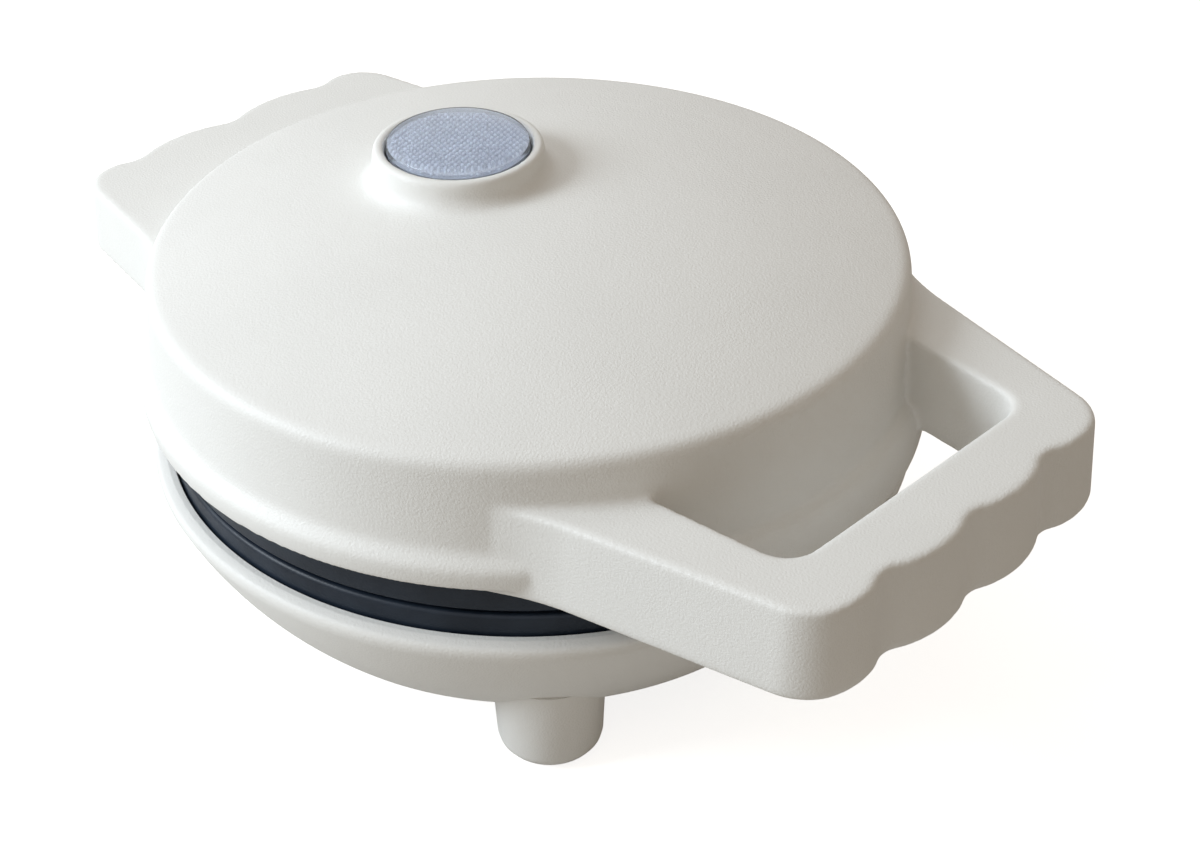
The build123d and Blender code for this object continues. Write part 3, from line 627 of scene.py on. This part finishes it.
def ease(work, voxel, passes, most):
    """Remeshes a solid, eases its surface and thins its triangles out to a number."""
    remesh = work.modifiers.new("Voxels", "REMESH")
    remesh.mode = "VOXEL"
    remesh.voxel_size = voxel
    bake(work)
    with opened(work.data) as bm:
        for _ in range(passes):
            bmesh.ops.smooth_vert(
                bm, verts=bm.verts, factor=0.5, use_axis_x=True, use_axis_y=True, use_axis_z=True
            )
    thin = work.modifiers.new("Fewer_faces", "DECIMATE")
    thin.ratio = min(1.0, most / (2 * len(work.data.polygons)))
    bake(work)


ease(lid, voxel=0.55, passes=9, most=190000)
settle(lid, "lid", ["lid_shell"], crease=60)

# %% [markdown]
# The cover plate is the rebate's own shape with a hair of play, and three holes for its screws.

# %% Cut the cover plate
PLATE_SCREWS = (-44.9, -84.7, 60), (44.9, -84.7, 60), (0, -112.6, 60)

cover = tray(margin=2.1, depth=2.0, spread=0, name="handle_cover_plate")
for place in PLATE_SCREWS:
    combine(cover, solid(rod(1.7, 8, place, steps=32), "screw_hole"), "DIFFERENCE")
settle(cover, "lid", ["handle_cover"])

# %% [markdown]
# ## The base moulding
# The base is a round bowl on four feet. Its side goes up in one swung arc to a soft bead and a
# ledge that the lower plate's flange rests on. The room inside follows the same arc's centre, so
# that the wall is even.

# %% Turn the bowl
FLOOR_Z, BOTTOM_R, BASE_BEAD, RIM_Z, LEDGE_R = 15.0, 67.8, (85.2, 0, 45.1), 45.9, 83.0
SIDE_CENTRE, SIDE_SWING, ROOM_SWING = (3.33, 0, 75.12), -21.77, -18.0
BOTTOM_ROUND, BASE_BEAD_ROUND, LEDGE_ROUND = 4.0, 1.5, 0.5
ROOM_R, FLANGE_STEP = 66.65, ((76.1, 0, 42), (76.1, 0, 43), (81.8, 0, 43), (81.8, 0, 70))
BOWL_STEPS = 192


def bowl():
    """The outside of the bowl, as a solid."""
    bm = bmesh.new()
    start = bm.verts.new((0, 0, FLOOR_Z))
    bottom = run(bm, start, (BOTTOM_R, 0, FLOOR_Z))
    side = swing(bm, bottom, SIDE_CENTRE, radians(SIDE_SWING), 16)
    bead = run(bm, side, BASE_BEAD)
    ledge = run(bm, bead, (LEDGE_R, 0, RIM_Z))
    last = run(bm, ledge, (0, 0, RIM_Z))
    bm.edges.new((last, start))
    fill(bm, [(bottom, BOTTOM_ROUND), (bead, BASE_BEAD_ROUND), (ledge, LEDGE_ROUND)])
    return turn(bm, BOWL_STEPS)


def bowl_room():
    """What the bowl holds clear inside, with the step for the plate's flange."""
    bm = bmesh.new()
    start = bm.verts.new((0, 0, FLOOR_Z + WALL))
    low = run(bm, start, (ROOM_R, 0, FLOOR_Z + WALL))
    side = swing(bm, low, SIDE_CENTRE, radians(ROOM_SWING), ARC_STEPS)
    last = run(bm, side, *FLANGE_STEP, (0, 0, FLANGE_STEP[-1][2]))
    bm.edges.new((last, start))
    fill(bm)
    return turn(bm, BOWL_STEPS)


base = solid(bowl(), "base_moulding")
print("bowl:", [round(v, 1) for v in base.dimensions])

# %% [markdown]
# A block at the back takes the cord's gland, and its neck carries the hinge's knuckle. It is one
# moulding with the bowl, so all of it is joined before it is cut. The feet are turned posts, each
# with a pocket below for its pad.

# %% Join the feet and the hinge block
FOOT = [(0, 0.6, 0), (11.2, 0.6, 3.5), (12.2, 22, 0), (0, 22, 0)]
FOOT_PLACES = (-41.1, -46.6), (41.1, -46.6), (-41.1, 46.6), (41.1, 46.6)
BLOCK_X, BLOCK_Y, BLOCK_Z = (-23, 23), (60, 103), (24, 49)
NECK = (-19.8, 19.8), (93, 102.8), (45, PIVOT_Z)
PAD_R, KNUCKLE_R, BUSH_R, GLAND_R, COVER_R = 7.52, 6.8, 4.0, 6.0, 38


def hinge_block():
    """The block behind the bowl, with rounded back corners and a rounded foot."""
    bm = block(BLOCK_X, BLOCK_Y, BLOCK_Z)
    high = BLOCK_Z[1] - BLOCK_Z[0]
    upright = [
        e for e in bm.edges
        if all(v.co.y > BLOCK_Y[1] - 3 for v in e.verts) and abs(e.calc_length() - high) < 1
    ]
    round_off(bm, upright, radius=6, segments=8)
    low = [
        e for e in bm.edges
        if all(v.co.z < BLOCK_Z[0] + 1 for v in e.verts)
        and max(v.co.y for v in e.verts) > BLOCK_Y[0] + 1
    ]
    round_off(bm, low, radius=3, segments=5)
    return bm


for x, y in FOOT_PLACES:
    foot = lathe(FOOT, 64)
    bmesh.ops.translate(foot, vec=(x, y, 0), verts=foot.verts)
    combine(base, solid(foot, "foot"), "UNION")
    combine(base, solid(rod(PAD_R, 6, (x, y, 0)), "pad_pocket"), "DIFFERENCE")
combine(base, solid(hinge_block(), "hinge_block"), "UNION")
combine(base, solid(block(*NECK), "neck"), "UNION")
combine(base, solid(rod(KNUCKLE_R, 40, (0, PIVOT_Y, PIVOT_Z), "X"), "knuckle"), "UNION")
combine(base, solid(bowl_room(), "bowl_room"), "DIFFERENCE")
combine(base, solid(rod(BUSH_R, 50, (0, PIVOT_Y, PIVOT_Z), "X"), "bush_hole"), "DIFFERENCE")
combine(base, solid(rod(GLAND_R, 20, (0, BLOCK_Y[1], 34), "Y"), "gland_hole"), "DIFFERENCE")
combine(base, solid(rod(COVER_R, 8, (0, 0, FLOOR_Z), steps=128), "cover_hole"), "DIFFERENCE")
settle(base, "base", ["base_shell"])

# %% [markdown]
# ## The bubble plates
# Both plates are castings with the same face: round half bubbles on a lattice of equal triangles,
# a web between them, and a sealing rim all round. They are then coated, which eases every edge a
# little. Each bubble is cut with one turned cutter, as deep as a ball and flared at its mouth.

# %% Turn a plate and cut its bubbles
SEAM_Z, HALF_SEAM, PLATE_R, RIM_R = 51.0, 0.4, 81.2, 74.5
WEB_Z, FACE_Z = SEAM_Z - 2.5, SEAM_Z - HALF_SEAM
PITCH, BUBBLE_R, BUBBLE_DEPTH, LATTICE_R = 24.0, 10.3, 8.6, 64
MOUTH_INSET, MOUTH_FLARE, MOUTH_ROUND = 0.1, 1.4, 1.2
SCREW_RING, SCREW_ANGLES = 4 * PITCH / sqrt(3), (90, 210, 330)
PLATE = [
    (0, 36, 0), (RIM_R, 36, 0.8), (RIM_R, 43, 0.8), (PLATE_R, 43, 0), (PLATE_R, FACE_Z, 1.0),
    (74.8, FACE_Z, 0.6), (73.8, WEB_Z, 0.8), (0, WEB_Z, 0),
]
COUNTERSINK = [
    (0, WEB_Z - 1.5, 0), (1.6, WEB_Z - 1.5, 0), (3.6, WEB_Z + 0.5, 0), (0, WEB_Z + 0.5, 0)
]


def bubble(x, y):
    """The cutter for one bubble."""
    ball = ball_radius(BUBBLE_R, BUBBLE_DEPTH)
    low_z, over_z = WEB_Z - BUBBLE_DEPTH, WEB_Z + 1.0
    bm = bmesh.new()
    low = bm.verts.new((0, 0, low_z))
    mouth = swing(bm, low, (0, 0, low_z + ball), -asin((BUBBLE_R - MOUTH_INSET) / ball), ARC_STEPS)
    last = run(bm, mouth, (BUBBLE_R + MOUTH_FLARE, 0, over_z), (0, 0, over_z))
    bm.edges.new((last, low))
    fill(bm, [(mouth, MOUTH_ROUND)])
    turn(bm, 40)
    bmesh.ops.translate(bm, vec=(x, y, 0), verts=bm.verts)
    return bm


def bubble_places():
    """The lattice's points that lie inside the sealing rim."""
    steps = range(-3, 4)
    lattice = [(PITCH * (i + j / 2), PITCH * j * sqrt(3) / 2) for i in steps for j in steps]
    return [place for place in lattice if hypot(*place) < LATTICE_R]


def plate(name):
    """The lower plate with its face up."""
    work = solid(lathe(PLATE, BOWL_STEPS), name)
    for x, y in bubble_places():
        combine(work, solid(bubble(x, y), "bubble"), "DIFFERENCE")
    for angle in SCREW_ANGLES:
        hole = lathe(COUNTERSINK, 40)
        place = (SCREW_RING * cos(radians(angle)), SCREW_RING * sin(radians(angle)), 0)
        bmesh.ops.translate(hole, vec=place, verts=hole.verts)
        combine(work, solid(hole, "countersink"), "DIFFERENCE")
    return work


lower = plate("lower_bubble_plate")
print("bubbles in each plate:", len(bubble_places()))

# %% [markdown]
# The upper plate is the lower one turned over at the seam. It also has a collar above its rim that
# seats in the lid.

# %% Turn the upper plate over
UPPER_COLLAR = [(74.2, 58, 0), (PLATE_R, 58, 0), (PLATE_R, 62, 0), (74.2, 62, 0)]

upper = bpy.data.objects.new("upper_bubble_plate", lower.data.copy())
scene.collection.objects.link(upper)
with opened(upper.data) as bm:
    bmesh.ops.scale(bm, vec=(1, 1, -1), verts=bm.verts)
    bmesh.ops.translate(bm, vec=(0, 0, 2 * SEAM_Z), verts=bm.verts)
    bmesh.ops.reverse_faces(bm, faces=bm.faces)
combine(upper, solid(lathe(UPPER_COLLAR, BOWL_STEPS), "flange"), "UNION")
settle(lower, "base", ["lower_plate"])
settle(upper, "lid", ["upper_plate"])

# %% [markdown]
# ## The lens over the lamps
# The window is moulded in clear, smoke-blue plastic. Its outside is a plain shallow dome with an
# upright edge, and its inside is hollow, so that it is as thin as a real window and bends the light
# as little. A flange at its foot holds it under the well's step.

# %% Turn the lens
LENS_R, LENS_EDGE_Z, LENS_TOP_Z, LENS_EDGE_ROUND = 15.8, 104.0, 105.2, 1.5
LENS_WALL, HOLLOW_R, FLANGE_R, FLANGE_LOW_Z = 1.0, 15.2, 17.4, 94.6


def window():
    """The clear window: domed outside, with a hollow behind and a flange at its foot."""
    ball = ball_radius(LENS_R, LENS_TOP_Z - LENS_EDGE_Z)
    inner = ball - LENS_WALL
    centre_z = LENS_TOP_Z - ball
    bm = bmesh.new()
    top = bm.verts.new((0, 0, LENS_TOP_Z))
    edge = swing(bm, top, (0, 0, centre_z), asin(LENS_R / ball), 16)
    low = run(
        bm, edge, (LENS_R, 0, FLANGE_Z), (FLANGE_R, 0, FLANGE_Z), (FLANGE_R, 0, FLANGE_LOW_Z),
        (HOLLOW_R, 0, FLANGE_LOW_Z),
    )
    under = run(bm, low, (HOLLOW_R, 0, centre_z + sqrt(inner**2 - HOLLOW_R**2)))
    middle = swing(bm, under, (0, 0, centre_z), -asin(HOLLOW_R / inner), 14)
    bm.edges.new((middle, top))
    fill(bm, [(edge, LENS_EDGE_ROUND)])
    return at_lens(turn(bm, 96))


lens = solid(window(), "lens_window")
settle(lens, "lid", ["indicator_lens"])

# %% [markdown]
# The rows of dots seen through the window are small prisms on a pale disc below it, which spread
# the lamps' light. They repeat hundreds of times, so each is a cone with only eight sides. Their
# rows run a little aslant, as on the real one.

# %% Lay out the prisms
PRISM_Z, PRISM_PITCH, PRISM_TURN, FIELD_R = 102.2, 1.42, 15, 14.6
PRISM_FOOT_R, PRISM_TOP_R, PRISM_HIGH = 0.56, 0.22, 0.5
DISC_R, DISC_THICK, DISC_DROP = 15.25, 0.8, 0.39


def prisms():
    """A thin disc with rows of small eight-sided studs that point up at the window."""
    bm = bmesh.new()
    reach = range(-14, 15)
    for row in reach:
        for column in reach:
            x = PRISM_PITCH * (column + row / 2 % 1)
            y = PRISM_PITCH * row * sqrt(3) / 2
            if hypot(x, y) > FIELD_R:
                continue
            made = bmesh.ops.create_cone(
                bm, cap_ends=True, segments=8, radius1=PRISM_FOOT_R, radius2=PRISM_TOP_R,
                depth=PRISM_HIGH,
            )
            bmesh.ops.translate(bm, vec=(x, y, PRISM_Z + PRISM_HIGH / 2), verts=made["verts"])
    aslant = Matrix.Rotation(radians(PRISM_TURN), 3, "Z")
    bmesh.ops.rotate(bm, cent=(0, 0, 0), matrix=aslant, verts=bm.verts)
    disc = bmesh.ops.create_cone(
        bm, cap_ends=True, segments=64, radius1=DISC_R, radius2=DISC_R, depth=DISC_THICK
    )
    bmesh.ops.translate(bm, vec=(0, 0, PRISM_Z - DISC_DROP), verts=disc["verts"])
    return at_lens(bm)


field = solid(prisms(), "lens_prisms")
settle(field, "lid", crease=20)

# %% [markdown]
# ## Finishes
# Every finish is worked out from the object's own coordinates, so that its grain has a real size.
# A helper makes a surface whose colour drifts a little between two tones and whose grain is a fine
# bump; each finish then gets what its material does besides.

# %% Finish helper
TONE_RAMP = 0.35, 0.65
ROUGH_DRIFT = 0.05
FINISHES = {}


def node(tree, kind, **values):
    """Adds a shader node and sets its own values."""
    made = tree.nodes.new("ShaderNode" + kind)
    for key, value in values.items():
        setattr(made, key, value)
    return made


def noise(tree, place, size, detail):
    """Adds a noise with spots of about this size, in metres, and returns its strength."""
    made = node(tree, "TexNoise")
    made.inputs["Scale"].default_value = 1 / size
    made.inputs["Detail"].default_value = detail
    tree.links.new(place, made.inputs["Vector"])
    return made.outputs["Fac"]


def finish(name, tones, drift, grain, height, rough, **sockets):
    """Makes a finish from two tones, the size of their drift, and the grain's size and height."""
    material = bpy.data.materials.new(name)
    material.use_nodes = True
    tree = material.node_tree
    shader = tree.nodes["Principled BSDF"]
    place = node(tree, "TexCoord").outputs["Object"]
    ramp = node(tree, "ValToRGB")
    for element, position, tone in zip(ramp.color_ramp.elements, TONE_RAMP, tones):
        element.position = position
        element.color = (*tone, 1)
    tree.links.new(noise(tree, place, drift, 3.0), ramp.inputs["Fac"])
    tree.links.new(ramp.outputs["Color"], shader.inputs["Base Color"])
    specks = noise(tree, place, grain, 2.0)
    bump = node(tree, "Bump")
    bump.inputs["Strength"].default_value = 1.0
    bump.inputs["Distance"].default_value = height
    tree.links.new(specks, bump.inputs["Height"])
    tree.links.new(bump.outputs["Normal"], shader.inputs["Normal"])
    spread = node(tree, "MapRange")
    spread.inputs["To Min"].default_value = rough - ROUGH_DRIFT
    spread.inputs["To Max"].default_value = rough + ROUGH_DRIFT
    tree.links.new(specks, spread.inputs["Value"])
    tree.links.new(spread.outputs["Result"], shader.inputs["Roughness"])
    for socket, value in sockets.items():
        shader.inputs[socket.replace("_", " ")].default_value = value
    return material


print("tones mix between", TONE_RAMP, "and the roughness drifts by", ROUGH_DRIFT)

# %% [markdown]
# ### Plastics
# The shells are an off-white thermoplastic with a fine spark-eroded grain, half dull. A plain grey
# white would look cold, so its two tones lean a little to yellow. The inner mouldings are nylon and
# acetal, which are duller and darker and have no grain to speak of.

# %% Plastic finishes
FINISHES["shell_plastic"] = finish(
    "cream_plastic", ((0.79, 0.783, 0.758), (0.81, 0.803, 0.778)),
    drift=0.03, grain=0.0005, height=0.00009, rough=0.5, Specular_IOR_Level=0.4,
)
FINISHES["terminal_plastic"] = finish(
    "terminal_nylon", ((0.66, 0.64, 0.58), (0.74, 0.72, 0.66)),
    drift=0.004, grain=0.0003, height=0.00002, rough=0.5,
)
FINISHES["inner_plastic"] = finish(
    "holder_nylon", ((0.56, 0.55, 0.52), (0.64, 0.63, 0.60)),
    drift=0.004, grain=0.0003, height=0.00002, rough=0.5,
)
FINISHES["bush_plastic"] = finish(
    "bush_acetal", ((0.72, 0.70, 0.66), (0.80, 0.78, 0.74)),
    drift=0.004, grain=0.0003, height=0.00001, rough=0.35,
)
print("plastics:", [made.name for made in FINISHES.values()])

# %% [markdown]
# ### Coated and bare metal
# The plates have a dark blue-grey nonstick coat, which is a varnish and not a metal: its base is
# nearly black and its gloss is low. The screws in it are coated steel. Sheath, shields, clips and
# the earth tab are bare metal, whose colour is the colour of its reflection.

# %% Metal finishes
FINISHES["nonstick"] = finish(
    "nonstick_coating", ((0.006, 0.011, 0.020), (0.014, 0.022, 0.036)),
    drift=0.012, grain=0.0005, height=0.00003, rough=0.42, Specular_IOR_Level=0.3,
)
FINISHES["nonstick_screws"] = finish(
    "coated_steel", ((0.05, 0.055, 0.06), (0.08, 0.085, 0.09)),
    drift=0.002, grain=0.0003, height=0.00001, rough=0.35, Metallic=0.8,
)
FINISHES["element_sheath"] = finish(
    "heater_sheath", ((0.16, 0.14, 0.12), (0.24, 0.22, 0.20)),
    drift=0.006, grain=0.0004, height=0.00002, rough=0.45, Metallic=0.9,
)
FINISHES["shield_metal"] = finish(
    "aluminised_sheet", ((0.60, 0.60, 0.60), (0.72, 0.72, 0.71)),
    drift=0.01, grain=0.0006, height=0.00001, rough=0.38, Metallic=1.0,
)
FINISHES["steel"] = finish(
    "plated_steel", ((0.55, 0.55, 0.54), (0.66, 0.66, 0.65)),
    drift=0.003, grain=0.0004, height=0.00001, rough=0.3, Metallic=1.0,
)
FINISHES["brass"] = finish(
    "earth_brass", ((0.62, 0.46, 0.20), (0.72, 0.55, 0.27)),
    drift=0.003, grain=0.0003, height=0.00001, rough=0.32, Metallic=1.0,
)
print("finishes so far:", len(FINISHES))

# %% [markdown]
# ### Ceramic, rubber and glass
# The heater's sleeves are unglazed ceramic, dull and warm. The foot pads are black rubber and the
# gland is pale rubber, both rough. The neon lamps' glass lets most light through.

# %% Ceramic, rubber and glass finishes
FINISHES["ceramic"] = finish(
    "sleeve_ceramic", ((0.74, 0.71, 0.66), (0.82, 0.79, 0.74)),
    drift=0.004, grain=0.0003, height=0.00002, rough=0.6,
)
FINISHES["rubber"] = finish(
    "foot_rubber", ((0.022, 0.022, 0.023), (0.036, 0.036, 0.037)),
    drift=0.004, grain=0.0004, height=0.00003, rough=0.75,
)
FINISHES["gland_rubber"] = finish(
    "pale_gland_rubber", ((0.60, 0.58, 0.54), (0.68, 0.66, 0.62)),
    drift=0.004, grain=0.0004, height=0.00003, rough=0.65,
)
FINISHES["lamp_glass"] = finish(
    "neon_lamp_glass", ((0.80, 0.74, 0.70), (0.88, 0.82, 0.78)),
    drift=0.002, grain=0.0005, height=0.00001, rough=0.1, Transmission_Weight=0.6,
)
print("finishes so far:", len(FINISHES))

# %% [markdown]
# ### The lens and its prisms
# A thin window bends the light less than a thick lens, so its index is set low. The prisms below
# are pale smoke blue. Light is lost between them, and a render with few bounces would lose too
# little there, so their colour darkens towards their feet.

# %% Lens and prism finishes
DIP_HEIGHT, DIP_SHADE = 0.4, 0.62

FINISHES["lens_plastic"] = finish(
    "smoke_blue_window", ((0.86, 0.89, 0.95), (0.90, 0.93, 0.98)),
    drift=0.01, grain=0.002, height=0.000004, rough=0.08, Transmission_Weight=0.95, IOR=1.2,
)
prism_finish = finish(
    "prism_field", ((0.54, 0.57, 0.63), (0.60, 0.63, 0.69)),
    drift=0.004, grain=0.0006, height=0.00001, rough=0.25,
)


def shade_by_height(material, low, high, darkest):
    """Darkens a finish towards a lower height, where a surface's dips hold less light."""
    tree = material.node_tree
    base_colour = tree.nodes["Principled BSDF"].inputs["Base Color"]
    tones = base_colour.links[0].from_socket
    split = node(tree, "SeparateXYZ")
    tree.links.new(node(tree, "TexCoord").outputs["Object"], split.inputs[0])
    level = node(tree, "MapRange")
    limits = {"From Min": low, "From Max": high, "To Min": darkest, "To Max": 1.0}
    for socket, value in limits.items():
        level.inputs[socket].default_value = value
    tree.links.new(split.outputs["Z"], level.inputs["Value"])
    scaled = node(tree, "VectorMath", operation="SCALE")
    tree.links.new(tones, scaled.inputs[0])
    tree.links.new(level.outputs["Result"], scaled.inputs["Scale"])
    tree.links.new(scaled.outputs[0], base_colour)


shade_by_height(prism_finish, PRISM_Z * MM, (PRISM_Z + DIP_HEIGHT) * MM, DIP_SHADE)
for slot, finished in FINISHES.items():
    print(slot, "is finished with", finished.name)

# %% [markdown]
# ## Dressing the pieces
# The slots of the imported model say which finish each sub-part takes. New pieces take the finish of
# their own slot, apart from the prisms, which have their own.

# %% Give every piece its finish


def dress(piece, material):
    """Gives a piece one finish all over."""
    piece.data.materials.clear()
    piece.data.materials.append(material)


subparts = frame["record"]["subparts"]
for entry in subparts:
    dress(frame["nodes"][entry["node"]], FINISHES[entry["material_slot"]])
for piece in (base, lid, cover):
    dress(piece, FINISHES["shell_plastic"])
for piece in (lower, upper):
    dress(piece, FINISHES["nonstick"])
dress(lens, FINISHES["lens_plastic"])
dress(field, prism_finish)
print("dressed", len(subparts), "sub-parts and 7 new pieces")

# %% [markdown]
# ## Camera
# A long lens close to a small appliance still shows some perspective. The place, the aim and the
# slight roll were measured from how round edges turn into ellipses in a photograph.

# %% Set the camera
CAMERA_PLACE, CAMERA_AIM = (-0.25339, -0.27597, 0.30382), (-0.03081, -0.05207, 0.080)
CAMERA_LENS, CAMERA_ROLL = 59.81, -0.47


def from_axis(place):
    """A place given from the maker's axis, in the frame."""
    return place[0], place[1] + AXIS_Y, place[2]


def aim(thing, target):
    """Turns a lamp or camera so that it looks at a target."""
    direction = Vector(target) - thing.location
    thing.rotation_euler = direction.to_track_quat("-Z", "Y").to_euler()


camera_data = bpy.data.cameras.new("camera")
camera_data.lens = CAMERA_LENS
camera_data.sensor_width = 36.0
camera = bpy.data.objects.new("camera", camera_data)
scene.collection.objects.link(camera)
camera.location = from_axis(CAMERA_PLACE)
aim(camera, from_axis(CAMERA_AIM))
camera.rotation_euler.rotate_axis("Z", radians(CAMERA_ROLL))
scene.camera = camera
print("camera at", [round(v, 3) for v in camera.location])

# %% [markdown]
# ## Lamps
# One large soft lamp stands at the left behind the maker and a weaker one above, both a little
# blue, so that the deck and dome are bright and the scalloped front stays in soft shade. Small
# lamps would draw hard shadows that the scalloped edges don't have.

# %% Hang the two softboxes


def softbox(name, place, size, power, colour):
    """Hangs a square soft lamp that looks at the middle of the maker."""
    data = bpy.data.lights.new(name, "AREA")
    data.shape = "RECTANGLE"
    data.size = data.size_y = size
    data.energy = power
    data.color = colour
    lamp = bpy.data.objects.new(name, data)
    scene.collection.objects.link(lamp)
    lamp.location = place
    aim(lamp, (0, 0, 0.06))
    print(name, "gives", power, "W from a square of", size, "m")


softbox("key_softbox", (-0.68, 0.46, 0.52), size=0.45, power=8.1, colour=(0.83, 0.92, 1.0))
softbox("top_softbox", (0.0, 0.5, 1.0), size=0.9, power=2.9, colour=(0.85, 0.93, 1.0))

# %% [markdown]
# ## Fill light and backdrop
# A warm, weak world fills the shade, as the walls of a room do. The camera, and what shines or is
# clear, sees plain white in its place. The Light Path node tells the two apart, so the backdrop can
# be white without more light on the maker.

# %% Light the world
FILL_COLOUR, FILL_STRENGTH = (1.0, 0.86, 0.70, 1), 0.34
WHITE = (1, 1, 1, 1)

world = bpy.data.worlds.new("studio")
scene.world = world
world.use_nodes = True
tree = world.node_tree
tree.nodes.clear()
fill_light = node(tree, "Background")
fill_light.inputs["Color"].default_value = FILL_COLOUR
fill_light.inputs["Strength"].default_value = FILL_STRENGTH
white = node(tree, "Background")
white.inputs["Color"].default_value = WHITE
white.inputs["Strength"].default_value = 1.0
path = node(tree, "LightPath")
seen = node(tree, "Math", operation="MAXIMUM")
tree.links.new(path.outputs["Is Camera Ray"], seen.inputs[0])
tree.links.new(path.outputs["Is Glossy Ray"], seen.inputs[1])
through = node(tree, "Math", operation="MAXIMUM")
tree.links.new(seen.outputs[0], through.inputs[0])
tree.links.new(path.outputs["Is Transmission Ray"], through.inputs[1])
mixed = node(tree, "MixShader")
tree.links.new(through.outputs[0], mixed.inputs[0])
tree.links.new(fill_light.outputs[0], mixed.inputs[1])
tree.links.new(white.outputs[0], mixed.inputs[2])
out = node(tree, "OutputWorld")
tree.links.new(mixed.outputs[0], out.inputs["Surface"])
print("the world fills with a strength of", FILL_STRENGTH)

# %% [markdown]
# ## Floor
# The floor is white paper under the maker. It reflects light on to the underside and takes the
# shadow like real paper. To the camera alone it also glows a little, so that it comes out white
# where no shadow falls. It belongs to the stage, and isn't part of the maker.

# %% Lay the floor
FLOOR_SIZE = 6.0
PAPER_COLOUR, PAPER_GLOW = (0.62, 0.60, 0.57, 1), 0.82

floor_bm = bmesh.new()
bmesh.ops.create_grid(floor_bm, x_segments=1, y_segments=1, size=FLOOR_SIZE)
floor_mesh = bpy.data.meshes.new("floor")
floor_bm.to_mesh(floor_mesh)
floor_bm.free()
floor = bpy.data.objects.new("floor", floor_mesh)
scene.collection.objects.link(floor)
paper = bpy.data.materials.new("white_paper")
paper.use_nodes = True
tree = paper.node_tree
tree.nodes.clear()
diffuse = node(tree, "BsdfDiffuse")
diffuse.inputs["Color"].default_value = PAPER_COLOUR
glow = node(tree, "Emission")
glow.inputs["Strength"].default_value = PAPER_GLOW
black = node(tree, "Emission")
black.inputs["Strength"].default_value = 0.0
path = node(tree, "LightPath")
only_seen = node(tree, "MixShader")
tree.links.new(path.outputs["Is Camera Ray"], only_seen.inputs[0])
tree.links.new(black.outputs[0], only_seen.inputs[1])
tree.links.new(glow.outputs[0], only_seen.inputs[2])
both = node(tree, "AddShader")
tree.links.new(diffuse.outputs[0], both.inputs[0])
tree.links.new(only_seen.outputs[0], both.inputs[1])
out = node(tree, "OutputMaterial")
tree.links.new(both.outputs[0], out.inputs["Surface"])
dress(floor, paper)
scene.view_settings.view_transform = "Standard"
print("floor of", 2 * FLOOR_SIZE, "m, glowing to the camera with", PAPER_GLOW)
